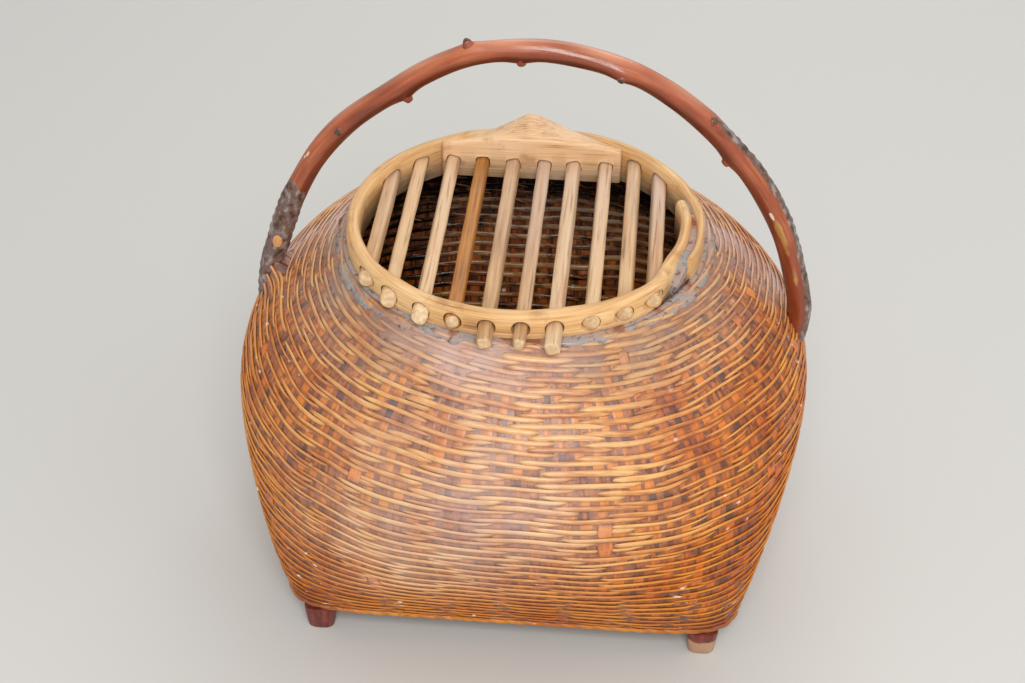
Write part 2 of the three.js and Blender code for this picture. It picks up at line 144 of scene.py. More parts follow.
def wall_half(z, base, belly, neck, flare, fall):
    """Half size at a height: one cubic from the base out to the belly, another in to the neck."""
    low = (z - FOOT_HEIGHT) / (BELLY_HEIGHT - FOOT_HEIGHT)
    high = (z - BELLY_HEIGHT) / (NECK_HEIGHT - BELLY_HEIGHT)
    rise = low**2 * (3 - 2 * low) + flare * low * (1 - low) ** 2
    drop = high**2 * (3 - 2 * high) - fall * high**2 * (1 - high)
    return np.where(z < BELLY_HEIGHT, base + (belly - base) * rise, belly + (neck - belly) * drop)


def outline(angle, half_width, half_depth, power):
    """Level outline |x/a|^n + |y/b|^n = 1 at an angle from the middle."""
    c, s = np.cos(angle), np.sin(angle)
    reach = (np.abs(c / half_width) ** power + np.abs(s / half_depth) ** power) ** (-1 / power)
    return np.stack([reach * c, reach * s], -1)


def even_outline(half_width, half_depth, power, count):
    """The outline at even steps of its own length, starting on the +X side."""
    angle = np.linspace(0, 2 * np.pi, 4 * count + 1)
    points = outline(angle, half_width, half_depth, power)
    length = np.r_[0, np.cumsum(np.linalg.norm(np.diff(points, axis=0), axis=1))]
    share = np.interp(np.arange(count) / count * length[-1], length, angle)
    return outline(share, half_width, half_depth, power)


def lifted(level, heights):
    """Level points with a height for each, or for each ring of them."""
    return np.concatenate([level, np.broadcast_to(heights, level.shape[:-1])[..., None]], -1)


def unit(directions):
    """Directions of length 1."""
    return directions / np.linalg.norm(directions, axis=-1, keepdims=True)


def bell(*values):
    """1 in the middle, falling away on all sides: each value comes with its middle and its reach."""
    return np.exp(-sum(((value - middle) / reach) ** 2 for value, middle, reach in values))


fine_z = np.linspace(FOOT_HEIGHT, NECK_HEIGHT, 2000)
fine_half = (wall_half(fine_z, **WIDTH) + wall_half(fine_z, **DEPTH)) / 2
climb = np.r_[0, np.cumsum(np.hypot(np.diff(fine_z), np.diff(fine_half)))]
WALL_LENGTH = climb[-1]
level_z = np.interp(np.linspace(0, WALL_LENGTH, LEVELS), climb, fine_z)
level_power = 2 + BASE_SQUARENESS * np.exp((FOOT_HEIGHT - level_z) / SQUARENESS_FADE)
level_sizes = zip(wall_half(level_z, **WIDTH), wall_half(level_z, **DEPTH), level_power)
level_rings = np.stack([even_outline(a, b, n, PLACES) for a, b, n in level_sizes])
wall_points = lifted(level_rings, level_z[:, None])
around = np.roll(wall_points, -1, 1) - np.roll(wall_points, 1, 1)
wall_normals = unit(np.cross(around, np.gradient(wall_points, axis=0)))


def on_wall(turn, climb, out):
    """Point at a share of the way round and of the way up, moved out along the surface's normal:
    the four nearest points of the surface, weighted by nearness."""
    turn, climb, out = np.broadcast_arrays(turn, climb, out)
    place = (turn % 1.0) * PLACES
    level = np.clip(climb, 0.0, 1.0) * (LEVELS - 1)
    left = np.floor(place).astype(int) % PLACES
    low = np.minimum(np.floor(level).astype(int), LEVELS - 2)
    right = (left + 1) % PLACES
    across = (place - np.floor(place))[..., None]
    above = (level - low)[..., None]

    def blend(table):
        under = table[low, left] * (1 - across) + table[low, right] * across
        over = table[low + 1, left] * (1 - across) + table[low + 1, right] * across
        return under * (1 - above) + over * above

    past_end = (climb - np.clip(climb, 0.0, 1.0))[..., None] * WALL_LENGTH
    steep = np.array([0.0, 0.0, 1.0])
    return blend(wall_points) + past_end * steep + out[..., None] * blend(wall_normals)


def over_leg(turn, climb):
    """How far the weave stands off to pass over a leg of the handle: a bell across the leg, as high as
    the leg stands out there, between the belly and the place where the leg goes in."""
    x, y, z = np.moveaxis(on_wall(turn, climb, 0.0), -1, 0)
    leg_outside = np.where(x < 0, LEG_OUTSIDES["left"], LEG_OUTSIDES["right"])
    leg_top = np.where(x < 0, LEG_TOPS["left"], LEG_TOPS["right"])
    stand_off = np.clip(leg_outside - wall_half(z, **WIDTH), 0, LEG_MOST)
    return stand_off * bell((y, 0, LEG_HALF_WIDTH)) * ((z > BELLY_HEIGHT) & (z < leg_top))


# Lacquer coat. Layers of lacquer and dirt have closed the gaps of the weave almost level with its
# stakes: a thin skin in the thickness of the wall, darker where the gaps are deep.

COAT_DEPTH = 1.35
NECK_FILL = 0.4
NECK_FILL_CLIMB = (0.93, 1.0)
COAT_THICKNESS = 0.3
COAT_PLACES = 336
COAT_LEVELS = 71
COAT_STREAKS = 0.9
COAT_DARK = (100, 72, 66)
COAT_BROWN = (142, 94, 72)
COAT_WARM = (180, 116, 74)
COAT_SHEEN = (206, 156, 126)
# Colour of a pale painted sheen on the front of the belly
STAIN_WASH = (218, 172, 140)
RED_WASH = (238, 194, 90)
# Pale flecks painted as glints
GLINT_PALE = (238, 226, 205)
# Dust colour, also the colour of a painted sheen on the front below the rim
DUST_AND_SHEEN_MAUVE = (206, 178, 168)
DUST_BROWN = (158, 136, 122)
CORNER_RED = (126, 54, 38)
# Painted places: a bell's middle and reach, or where a ramp starts and ends
RIM_DUST_Z = (200, 226)
RIM_DUST_X = (20, 60)
SHOULDER_DUST_Y = (18, 26)
SHOULDER_DUST_Z = (178, 198)
SHOULDER_X = 60
# A pale patch on the front below the rim, partly dust and partly a painted sheen
SHEEN_BLOOM_X = (-14, 72)
SHEEN_BLOOM_Z = (168, 55)
OLD_DUST_X = (25, 65)
OLD_DUST_Y = (12, -12)
OLD_DUST_Z = (190, 220)
LOW_RED_Z = (146, 76)
SIDE_RED_Z = (235, 195)
CORNER_X = (124, 20)
CORNER_Y = (100, 18)
CORNER_Z = (46, 30)
# Place of a painted sheen on the front of the belly
BELLY_SHEEN_X = (-62, 58)
BELLY_SHEEN_Z = (112, 40)
dice = np.random.default_rng(11)


def tube_faces(count, along, round_, loop):
    """Faces of many tubes, each of rings of points in order: quads between neighbouring rings, and
    either a last span back to the first ring or a flat face at each end."""
    tube = np.arange(count)[:, None, None] * along * round_
    spans = along if loop else along - 1
    ring = np.arange(spans)[None, :, None]
    side = np.arange(round_)[None, None, :]
    here, there = ring * round_, (ring + 1) % along * round_
    next_side = (side + 1) % round_
    quads = np.stack([
        tube + here + side, tube + here + next_side, tube + there + next_side, tube + there + side,
    ], -1).reshape(-1, 4)
    if loop:
        return [quads]
    start = (tube[:, :, 0] + np.arange(round_)[::-1]).reshape(count, round_)
    end = (tube[:, :, 0] + (along - 1) * round_ + np.arange(round_)).reshape(count, round_)
    return [quads, start, end]


def new_piece(name, points, finish, loop=False, smooth=True):
    """An object at the origin from points in millimetres: tubes of rings of points, closed by a face at
    each end or into a loop."""
    along, round_ = points.shape[-3:-1]
    faces = tube_faces(points.size // (3 * along * round_), along, round_, loop)
    corners = np.concatenate([group.reshape(-1) for group in faces])
    sizes = np.concatenate([np.full(len(group), group.shape[1]) for group in faces])
    flat_points = np.ascontiguousarray(points, dtype=np.float32).reshape(-1) * MILLIMETRE
    mesh = bpy.data.meshes.new(name)
    mesh.vertices.add(len(flat_points) // 3)
    mesh.vertices.foreach_set("co", flat_points)
    mesh.loops.add(len(corners))
    mesh.loops.foreach_set("vertex_index", corners.astype(np.int32))
    mesh.polygons.add(len(sizes))
    mesh.polygons.foreach_set("loop_start", (np.cumsum(sizes) - sizes).astype(np.int32))
    mesh.polygons.foreach_set("use_smooth", np.full(len(sizes), smooth))
    mesh.update(calc_edges=True)
    mesh.validate()
    mesh.materials.append(finish)
    return placed(name, mesh)


def paint(piece, shape, **values):
    """Gives the vertices, in the shape of their grid, values that the finish reads by name."""
    for name, value in values.items():
        layer = piece.data.attributes.new(name, "FLOAT", "POINT")
        spread = np.broadcast_to(value, shape)
        layer.data.foreach_set("value", np.ascontiguousarray(spread, dtype=np.float32).reshape(-1))


def node(tree, kind, inputs=(), **settings):
    """Adds a shader node with its properties, and fills its inputs with values or from other sockets."""
    made = tree.nodes.new("ShaderNode" + kind)
    for key, value in settings.items():
        setattr(made, key, value)
    for key, value in dict(inputs).items():
        if isinstance(value, bpy.types.NodeSocket):
            tree.links.new(value, made.inputs[key])
        else:
            made.inputs[key].default_value = value
    return made


def worked(tree, operation, value, *others):
    """Values added or multiplied, one after the other."""
    for other in others:
        value = node(tree, "Math", {0: value, 1: other}, operation=operation).outputs[0]
    return value


def raised(tree, value, share, most):
    """A value and up to so much more, by a share."""
    return node(tree, "Math", {0: share, 1: most, 2: value}, operation="MULTIPLY_ADD").outputs[0]


def ranged(tree, value, low, high, start=0.0, end=1.0):
    """Goes from start to end while a value goes from low to high."""
    return node(tree, "MapRange", {0: value, 1: low, 2: high, 3: start, 4: end}).outputs[0]


def graded(tree, share, stops):
    """Colour that runs through (place, screen colour) stops."""
    made = node(tree, "ValToRGB", {0: share})
    elements = made.color_ramp.elements
    for place, _ in stops[1:-1]:
        elements.new(place)
    for element, (place, colour) in zip(elements, stops):
        element.position = place
        element.color = tint(colour)
    return made.outputs[0]


def mixed(tree, share, first, second, blend="MIX"):
    """Two colours, each a socket or a screen colour, mixed by a share."""
    first, second = (c if isinstance(c, bpy.types.NodeSocket) else tint(c) for c in (first, second))
    made = node(tree, "Mix", {0: share, 6: first, 7: second}, data_type="RGBA", blend_type=blend)
    return made.outputs[2]


def washed(tree, colour, wash):
    """A colour under a thin wash of another: the two multiplied."""
    return mixed(tree, 1.0, colour, wash, "MULTIPLY")


def stained(tree, colour, stain, value, low, high, start=0.0, end=1.0):
    """A colour with a stain whose share goes from start to end while a value goes from low to high."""
    return mixed(tree, ranged(tree, value, low, high, start, end), colour, stain)


def own_place(tree):
    """The piece's own coordinates."""
    return node(tree, "TexCoord").outputs["Object"]


def value_of(tree, name):
    """A painted value."""
    return node(tree, "Attribute", attribute_name=name).outputs["Fac"]


def noise(tree, place, scale, detail, stretch):
    """Noise at a place, in patches of 1/scale metres, stretched by axis."""
    drawn = node(tree, "Mapping", {"Vector": place, "Scale": stretch}).outputs[0]
    return node(tree, "TexNoise", {"Vector": drawn, "Scale": scale, "Detail": detail}).outputs[0]


def grainy(tree, scale, detail=3.0, stretch=(1.0, 1.0, 1.0)):
    """Noise on the piece's own coordinates."""
    return noise(tree, own_place(tree), scale, detail, stretch)


def streaked(tree):
    """Streaks along a splint: noise that is slow along the wall and quick over the painted grain."""
    place = node(tree, "Mapping", {"Vector": own_place(tree), "Scale": (100.0, 100.0, 20.0)}).outputs[0]
    across = node(tree, "CombineXYZ", {2: value_of(tree, "grain")}).outputs[0]
    both = node(tree, "VectorMath", {0: place, 1: across}, operation="ADD").outputs[0]
    return node(tree, "TexNoise", {"Vector": both, "Scale": 1.0, "Detail": 4.0}).outputs[0]


def finished(tree, colour, relief, strength, distance, gloss=None):
    """Gives the shader its colour, a relief from a height and, where it varies, its roughness."""
    shader = tree.nodes["Principled BSDF"].inputs
    bump = node(tree, "Bump", {"Height": relief, "Strength": strength, "Distance": distance})
    tree.links.new(colour, shader["Base Color"])
    tree.links.new(bump.outputs[0], shader["Normal"])
    if gloss is not None:
        tree.links.new(gloss, shader["Roughness"])


def splint_finish(name, stops, roughness, dust_and_sheen_share, sheen_colour):
    """Lacquered splints: a tone for each stretch that shows, redder low down and at the sides, with a pale
    painted sheen on the front of the belly, dust where dust has settled and a painted sheen in the dust
    colour on the front below the rim, painted shade in the recesses, pale flecks painted as glints, fine
    fibres and uneven gloss."""
    material, tree = new_finish(name, specular_ior_level=0.35, coat_weight=0.2, coat_roughness=0.2)
    fibre = ranged(tree, streaked(tree), 0.3, 0.7)
    cloud = grainy(tree, 38.0, 4.0)
    tone = worked(tree, "ADD", value_of(tree, "tone"), fibre, grainy(tree, 130.0, 2.0))
    colour = graded(tree, ranged(tree, tone, 0.7, 1.9), stops)
    stain = washed(tree, colour, STAIN_WASH)
    colour = stained(tree, colour, stain, grainy(tree, 24.0, 6.0), 0.46, 0.66, 0.0, 0.6)
    colour = mixed(tree, value_of(tree, "red"), colour, washed(tree, colour, RED_WASH))
    patch = ranged(tree, cloud, 0.35, 0.65, 0.35, 1.0)
    # A painted sheen on the front of the belly, in patches
    rubbed = worked(tree, "MULTIPLY", value_of(tree, "rubbed"), patch)
    colour = mixed(tree, rubbed, colour, sheen_colour)
    colour = mixed(tree, value_of(tree, "corner"), colour, CORNER_RED)
    # Dust, and in the same colour a painted sheen on the front below the rim
    dust = worked(tree, "MULTIPLY", value_of(tree, "dust"), patch, dust_and_sheen_share)
    dust_and_sheen_colour = mixed(tree, value_of(tree, "old_dust"), DUST_AND_SHEEN_MAUVE, DUST_BROWN)
    colour = mixed(tree, dust, colour, dust_and_sheen_colour)
    # Painted shade in the recesses, from each point's height in the wall
    hollow_shade = ranged(tree, value_of(tree, "height"), 0.45, 0.84, 0.5, 1.0)
    shade = node(tree, "CombineColor", {0: hollow_shade, 1: hollow_shade, 2: hollow_shade}).outputs[0]
    colour = washed(tree, colour, shade)
    # Pale flecks painted as glints, low down and at the sides
    glint = ranged(tree, grainy(tree, 330.0, 0.0, (0.5, 0.5, 1.0)), 0.81, 0.85)
    colour = mixed(tree, worked(tree, "MULTIPLY", glint, value_of(tree, "red")), colour, GLINT_PALE)
    gloss = ranged(tree, cloud, 0.3, 0.7, roughness - 0.08, roughness + 0.1)
    finished(tree, colour, fibre, 0.14, 0.0006, raised(tree, gloss, dust, 0.3))
    return material


def ramp(value, start, end):
    """0 up to the start, 1 from the end on, and straight between."""
    return np.clip((value - start) / (end - start), 0, 1)


def dust_and_sheen(points):
    """Dust on the wall and a painted sheen, from 0 to 1: dust thick under the rim and along the shoulders
    beside the handle, and a pale patch on the front below the rim that is partly dust and partly a
    painted sheen."""
    x, y, z = np.moveaxis(points, -1, 0)
    rim = ramp(z, *RIM_DUST_Z) ** 1.3 * (1 - 0.3 * ramp(x, *RIM_DUST_X))
    shoulder = 1.2 * bell((y, *SHOULDER_DUST_Y)) * ramp(z, *SHOULDER_DUST_Z) * (np.abs(x) > SHOULDER_X)
    # Partly dust and partly a painted sheen on the front below the rim
    sheen_bloom = 0.75 * bell((x, *SHEEN_BLOOM_X), (z, *SHEEN_BLOOM_Z)) * (y < 0)
    return np.clip(np.maximum(np.maximum(rim, shoulder), sheen_bloom), 0, 1)


def paint_splints(piece, points, tone, out, grain):
    """Paints the values that the splints' finish reads: their tone, the grain across them, their height
    in the wall, from which the finish paints shade in the recesses, the dust with the painted sheen below
    the rim, how red they are low down, round the sides and by the feet, and the painted sheen on the
    front of the belly."""
    x, y, z = np.moveaxis(points, -1, 0)
    sides = np.clip((np.abs(x) - 75) / 80 + 0.25 * (x > 0), 0, 1) * ramp(z, *SIDE_RED_Z)
    corner = 0.85 * bell((np.abs(x), *CORNER_X), (np.abs(y), *CORNER_Y))
    old_dust = ramp(z, *OLD_DUST_Z) * ramp(np.abs(x + 10), *OLD_DUST_X)
    paint(
        # The dust value also carries the painted sheen on the front below the rim
        piece, z.shape, tone=tone, grain=grain, dust=dust_and_sheen(points),
        # Height in the wall, which the finish turns into painted shade in the recesses
        height=np.clip(np.maximum((out + 3.0) / 3.0, -2.0 - out), 0, 1),
        old_dust=old_dust * ramp(y, *OLD_DUST_Y),
        red=np.clip(ramp(z, *LOW_RED_Z) + 0.8 * sides, 0, 1.2),
        corner=corner * ramp(z, *CORNER_Z),
        # A painted sheen on the front of the belly
        rubbed=0.75 * bell((x, *BELLY_SHEEN_X), (z, *BELLY_SHEEN_Z)) * (y < 0),
    )


coat_stops = [(0.0, COAT_DARK), (0.4, COAT_BROWN), (1.0, COAT_WARM)]
coat_finish = splint_finish("lacquer_coat", coat_stops, 0.36, 0.75, COAT_SHEEN)
coat_turn = np.arange(COAT_PLACES)[:, None] / COAT_PLACES
coat_levels = np.linspace(0.0, 1.0, COAT_LEVELS)
coat_climb = np.r_[coat_levels[::-1], coat_levels]
coat_out = np.repeat([COAT_THICKNESS / 2, -COAT_THICKNESS / 2], COAT_LEVELS) - COAT_DEPTH
coat_out = coat_out + over_leg(coat_turn, coat_climb) + NECK_FILL * ramp(coat_climb, *NECK_FILL_CLIMB)
coat_points = on_wall(coat_turn, coat_climb, coat_out)
coat = new_piece("wall_coat", coat_points, coat_finish, loop=True)
coat_tone = dice.random(coat_points.shape[:2]) ** 1.2
paint_splints(coat, coat_points, coat_tone, -0.5, COAT_STREAKS * WALL_LENGTH * coat_climb)
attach(coat, "basket")
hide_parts("woven_wall")

# Stakes. Flat bamboo splints stand up the wall side by side, behind the rows of strands, and show in
# the bands between the rows. Here and there one comes out over a row.

STAKE_COUNT = 112
ROW_COUNT = 35
ROW_SPREAD = 0.09
STAKE_WIDTH = 1.0
STAKE_THICKNESS = 1.0
STAKE_OUT = -0.9
STAKE_IN = -1.62
STAKE_WANDER = 0.05
STAKE_STEPS = 4
SKIP_SHARE = 0.01
STAKE_GREY = (100, 84, 88)
STAKE_BROWN = (120, 72, 54)
STAKE_ORANGE = (182, 110, 68)
STAKE_BRIGHT = (234, 146, 64)
# Colour of a painted sheen on the front of the belly
STAKE_SHEEN = (214, 164, 134)
TONE_STREAKS = 40
BOARD_SHADE_Z = (153, 162)
BOARD_SHADE_Y = 20
skipped = dice.random((ROW_COUNT, STAKE_COUNT)) < SKIP_SHARE


def swelling(away, reach):
    """1 at no distance, falling on a cosine to 0 at the reach."""
    return np.cos(0.5 * np.pi * np.clip(np.abs(away) / reach, 0, 1)) ** 2


def row_climb(rows):
    """Share of the way up at which a row lies: the rows are wider apart at the base than at the rim."""
    share = (rows + 0.5) / ROW_COUNT
    return share * (1 + ROW_SPREAD - ROW_SPREAD * share)


def row_at(climb):
    """The row, as a number with a fraction, at a share of the way up."""
    spread = 1 + ROW_SPREAD
    share = (spread - np.sqrt(spread**2 - 4 * ROW_SPREAD * climb)) / (2 * ROW_SPREAD)
    return share * ROW_COUNT - 0.5


def row_drift(turn, climb):
    """How far the rows wander off level, in millimetres: waves that fade at both edges."""
    lean = 2.6 * np.sin(2 * np.pi * turn + 2.2) + 1.5 * np.sin(4 * np.pi * turn + 1.1 + 3 * climb)
    ripple = 1.1 * np.sin(10 * np.pi * turn + 5 * climb) + 0.8 * np.sin(18 * np.pi * turn - 7 * climb)
    ripple = ripple + 0.55 * np.sin(38 * np.pi * turn + 9 * climb)
    return (lean + ripple) * np.sin(np.pi * np.clip(climb, 0, 1))


stake_stops = [(0.0, STAKE_GREY), (0.2, STAKE_BROWN), (0.48, STAKE_ORANGE), (1.0, STAKE_BRIGHT)]
stake_finish = splint_finish("stake_lacquer", stake_stops, 0.4, 0.85, STAKE_SHEEN)
stake = np.arange(STAKE_COUNT)[:, None, None]
stake_climb = np.linspace(0.0, 1.0, STAKE_STEPS * ROW_COUNT + 1)[None, :, None]
stake_drift = row_drift(stake / STAKE_COUNT, stake_climb) / WALL_LENGTH
row_there = row_at(np.clip(stake_climb - stake_drift, 0, 1))
nearest_row = np.clip(np.rint(row_there).astype(int), 0, ROW_COUNT - 1)
showing = skipped[nearest_row, stake] * np.minimum(1.5 * swelling(row_there - nearest_row, 0.7), 1)
section_across = np.array([-1.0, -0.6, 0.6, 1.0, 0.6, -0.6]) * STAKE_WIDTH / 2
section_out = np.array([0.0, 1.0, 1.0, 0.0, -1.0, -1.0]) * STAKE_THICKNESS / 2
band = np.floor(row_there + 1).astype(int)
wander = STAKE_WANDER * dice.standard_normal((STAKE_COUNT, 1, 1))
wander = wander + STAKE_WANDER * dice.standard_normal((STAKE_COUNT, ROW_COUNT + 1))[stake, band]
cell_width = dice.uniform(0.76, 1.06, (STAKE_COUNT, ROW_COUNT + 1))[stake, band]
stake_turn = (stake + wander + section_across * cell_width) / STAKE_COUNT
stake_out = STAKE_IN + (STAKE_OUT - STAKE_IN) * showing + section_out
stake_points = on_wall(stake_turn, stake_climb, stake_out + over_leg(stake_turn, stake_climb))
stakes = new_piece("wall_stakes", stake_points, stake_finish)
stake_tone = (dice.random((STAKE_COUNT, ROW_COUNT + 1)) ** 1.6)[stake, band]
stake_grain = 2.4 * section_across + TONE_STREAKS * stake_tone
inside = section_out < 0
# Painted shadow under the back board, on the stakes' inner faces
shaded = inside * ramp(stake_points[..., 2], *BOARD_SHADE_Z) * (stake_points[..., 1] > BOARD_SHADE_Y)
stake_tone = np.maximum(stake_tone, 0.8 * showing) * np.where(inside, 0.4, 1.0) - 0.5 * shaded
# Painted shade in the corners where the rows cross the stakes
corner_shade = (1 - showing) * swelling(row_there - nearest_row, 0.42)
stake_seen = np.where(inside, -0.4, stake_out + 0.5 - corner_shade) * (1 - shaded) - 2.1 * shaded
paint_splints(stakes, stake_points, stake_tone, stake_seen, stake_grain)
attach(stakes, "basket")
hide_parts("woven_wall")

# Rows. Each row is a pair of thin pale strands, twined round the stakes: each comes out above the other,
# lies over five or six stakes, slants down and goes in below the next. They are lacquered with the stakes.

TWIST = 4
STRAND_FLOAT = 6.2
STRAND_FLOAT_LOW = 4.5
STRAND_LEAD = 0.9
STRAND_DIVE = 2.0
ROW_STEPS = 4
STRAND_HEIGHT = 3.3
STRAND_HEIGHT_LOW = 2.0
STRAND_LOW_CLIMB = (0.1, 0.5)
STRAND_THIN_X = (65, 120)
STRAND_THINNED = 0.42
STRAND_THICKNESS = 1.1
STRAND_OUTSIDE = -0.72
STRAND_INSIDE = -2.85
STRAND_SLANT = 1.7
STRAND_UNEVEN = 0.5
STRAND_STREAKS = 1.3
STRAND_BROWN = (182, 110, 54)
STRAND_OCHRE = (212, 146, 78)
STRAND_PALE = (234, 184, 118)
# Colour of a painted sheen on the front of the belly
STRAND_SHEEN = (238, 204, 164)
SIX_SIDES = np.radians([30, 90, 150, 210, 270, 330])

strand_stops = [(0.0, STRAND_BROWN), (0.4, STRAND_OCHRE), (1.0, STRAND_PALE)]
strand_finish = splint_finish("strand_lacquer", strand_stops, 0.34, 0.8, STRAND_SHEEN)
row_shift = np.cumsum(dice.uniform(-0.8, 1.1, ROW_COUNT))
step = np.arange(STAKE_COUNT * ROW_STEPS)[None, None, :, None] / ROW_STEPS
nearest_stake = np.rint(step).astype(int) % STAKE_COUNT


def smooth_step(share):
    """0 below 0, 1 above 1, and an even ease between."""
    share = np.clip(share, 0, 1)
    return share**2 * (3 - 2 * share)


def woven_rows(name, first, last):
    """Rows of twined strands. A flat ellipse is carried round the wall: it slants down on a half cosine
    over its stretch outside, thins and goes in on an even ease, rises inside and comes out again."""
    row = np.arange(first, last)[:, None, None, None]
    strand = np.arange(2)[None, :, None, None]
    turn = step / STAKE_COUNT
    wobble = 0.6 * np.sin(2 * np.pi * (3 * turn + 0.37 * row))
    wobble = wobble + 0.35 * np.sin(2 * np.pi * (8 * turn - 0.21 * row))
    level = row_climb(row)
    risen = smooth_step(ramp(level, *STRAND_LOW_CLIMB))
    floated = STRAND_FLOAT_LOW + (STRAND_FLOAT - STRAND_FLOAT_LOW) * risen
    gone = step + row_shift[row] + wobble + TWIST * strand
    slanted = gone % (2 * TWIST)
    stretch = np.floor((gone + STRAND_LEAD) / (2 * TWIST)).astype(int)
    place = gone - 2 * TWIST * stretch
    over = smooth_step((place + STRAND_LEAD) / STRAND_DIVE)
    over = over * smooth_step((floated + STRAND_LEAD - place) / STRAND_DIVE)
    over = over * (1 - skipped[row, nearest_stake] * swelling(step - np.rint(step), 0.62))
    behind = -np.cos(np.pi * (slanted - floated) / (2 * TWIST - floated))
    slant = np.where(slanted < floated, np.cos(np.pi * slanted / floated), behind) * (0.5 + 0.5 * risen)
    pick = (row - first, strand, stretch % (STAKE_COUNT // TWIST))
    shape = (last - first, 2, STAKE_COUNT // TWIST)
    swell = np.clip(1 + 0.18 * dice.standard_normal(shape), 0.66, 1.35)[pick] * (0.4 + 0.6 * over)
    rise = (STRAND_UNEVEN * dice.standard_normal(shape))[pick] * np.sin(np.pi * ramp(place, 0, floated))
    height = STRAND_HEIGHT_LOW + (STRAND_HEIGHT - STRAND_HEIGHT_LOW) * risen
    to_side = smooth_step(ramp(np.abs(on_wall(turn, level, 0.0)[..., 0]), *STRAND_THIN_X))
    height = height * (1 - STRAND_THINNED * to_side)
    up = row_drift(turn, level) + rise + STRAND_SLANT * slant + height / 2 * swell * np.cos(SIX_SIDES)
    out = STRAND_INSIDE + (STRAND_OUTSIDE - STRAND_INSIDE) * over
    out = out + STRAND_THICKNESS / 2 * np.sin(SIX_SIDES)
    points = on_wall(turn, level + up / WALL_LENGTH, out + over_leg(turn, level))
    piece = new_piece(name, points, strand_finish, loop=True)
    tone = dice.random(shape)[pick]
    grain = STRAND_STREAKS * np.cos(SIX_SIDES) + TONE_STREAKS * tone
    # Painted light and shade: each strand's tone is lighter on its top and darker on its lower side, and
    # lower towards its ends; where it lies deeper in the wall it gets painted shade from its height
    paint_splints(piece, points, tone + 0.25 * np.cos(SIX_SIDES) - 0.1 - 0.3 * (1 - over), out, grain)
    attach(piece, "basket")
    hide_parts("woven_wall")


woven_rows("wall_rows_lower", 0, ROW_COUNT // 2)
woven_rows("wall_rows_upper", ROW_COUNT // 2, ROW_COUNT)

# Inner rows. Inside the basket the strands lie close, in and out over the stakes, browner than outside
# and shiny where the lacquer has run. They are painted dark under the back board as its shadow, and
# darker towards the left and right as shade.

INNER_OUT = -2.75
INNER_WAVE = 0.35
INNER_HEIGHT = 4.4
INNER_STEPS = 2
INNER_DARK = (36, 25, 19)
INNER_BROWN = (172, 128, 98)
INNER_PALE = (222, 190, 158)
INNER_SHADE_X = (60, 100)

inner_stops = [(0.0, INNER_DARK), (0.5, INNER_BROWN), (1.0, INNER_PALE)]
inner_finish = splint_finish("inner_lacquer", inner_stops, 0.17, 0.0, INNER_PALE)
inner_row = np.arange(ROW_COUNT)[:, None, None]
inner_turn = np.arange(STAKE_COUNT * INNER_STEPS)[None, :, None] / (STAKE_COUNT * INNER_STEPS)
inner_level = row_climb(inner_row)
inner_up = row_drift(inner_turn, inner_level) + INNER_HEIGHT / 2 * np.cos(SIX_SIDES)
inner_wave = INNER_WAVE * np.cos(np.pi * (STAKE_COUNT * inner_turn / 2 + inner_row))
inner_out = INNER_OUT + inner_wave + STRAND_THICKNESS / 2 * np.sin(SIX_SIDES)
inner_points = on_wall(inner_turn, inner_level + inner_up / WALL_LENGTH, inner_out)
inner_rows = new_piece("wall_rows_inside", inner_points, inner_finish, loop=True)
inner_stretch = (inner_turn * STAKE_COUNT / TWIST).astype(int)
inner_tone = dice.random((ROW_COUNT, STAKE_COUNT // TWIST))[inner_row, inner_stretch]
inner_grain = STRAND_STREAKS * np.cos(SIX_SIDES) + TONE_STREAKS * inner_tone
x, y, z = np.moveaxis(inner_points, -1, 0)
# Painted shadow under the back board, and painted shade towards the left and right
shaded = smooth_step(ramp(z, *BOARD_SHADE_Z)) * (y > BOARD_SHADE_Y)
shaded = np.maximum(shaded, 0.7 * smooth_step(ramp(np.abs(x - 10), *INNER_SHADE_X)))
paint_splints(inner_rows, inner_points, inner_tone - shaded, 0.8 * shaded - 3.0, inner_grain)
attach(inner_rows, "basket")
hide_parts("woven_wall")

# Base border. Two thicker strands, wound round each other, finish the weave along its lower edge.
# They are worn smooth and pinkish where the basket is set down.

BORDER_WINDINGS = 44
BORDER_RADIUS = 1.7
BORDER_SPREAD = 0.5
BORDER_CLIMB = 0.012
BORDER_OUT = -1.2
BORDER_STEPS = 720
BORDER_BROWN = (172, 116, 86)
BORDER_PINK = (224, 176, 146)
# Colour of a painted sheen on the front of the belly
BORDER_SHEEN = (222, 176, 142)

border_stops = [(0.0, BORDER_BROWN), (0.5, BORDER_PINK), (1.0, STRAND_PALE)]
border_finish = splint_finish("border_lacquer", border_stops, 0.42, 0.4, BORDER_SHEEN)
border_turn = np.arange(BORDER_STEPS)[None, :, None] / BORDER_STEPS
winding = 2 * np.pi * BORDER_WINDINGS * border_turn + np.pi * np.arange(2)[:, None, None]
eight_sides = np.radians(np.arange(0, 360, 45) + 22.5)
border_up = BORDER_SPREAD * np.cos(winding) + BORDER_RADIUS * np.cos(eight_sides)
border_out = BORDER_OUT + BORDER_SPREAD * np.sin(winding) + BORDER_RADIUS * np.sin(eight_sides)
border_points = on_wall(border_turn, BORDER_CLIMB + border_up / WALL_LENGTH, border_out)
border = new_piece("base_border", border_points, border_finish, loop=True)
border_tone = 0.35 + 0.3 * np.sin(2 * np.pi * 9 * border_turn) * np.sin(2 * np.pi * 5 * border_turn + 1)
border_grain = 2 * np.cos(eight_sides) + TONE_STREAKS * border_tone
paint_splints(border, border_points, border_tone, border_out, border_grain)
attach(border, "basket")
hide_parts("woven_wall")

# Floor panel. Flat splints cross each other two over and two under inside the foot of the wall, with
# the same dark pitch between them.

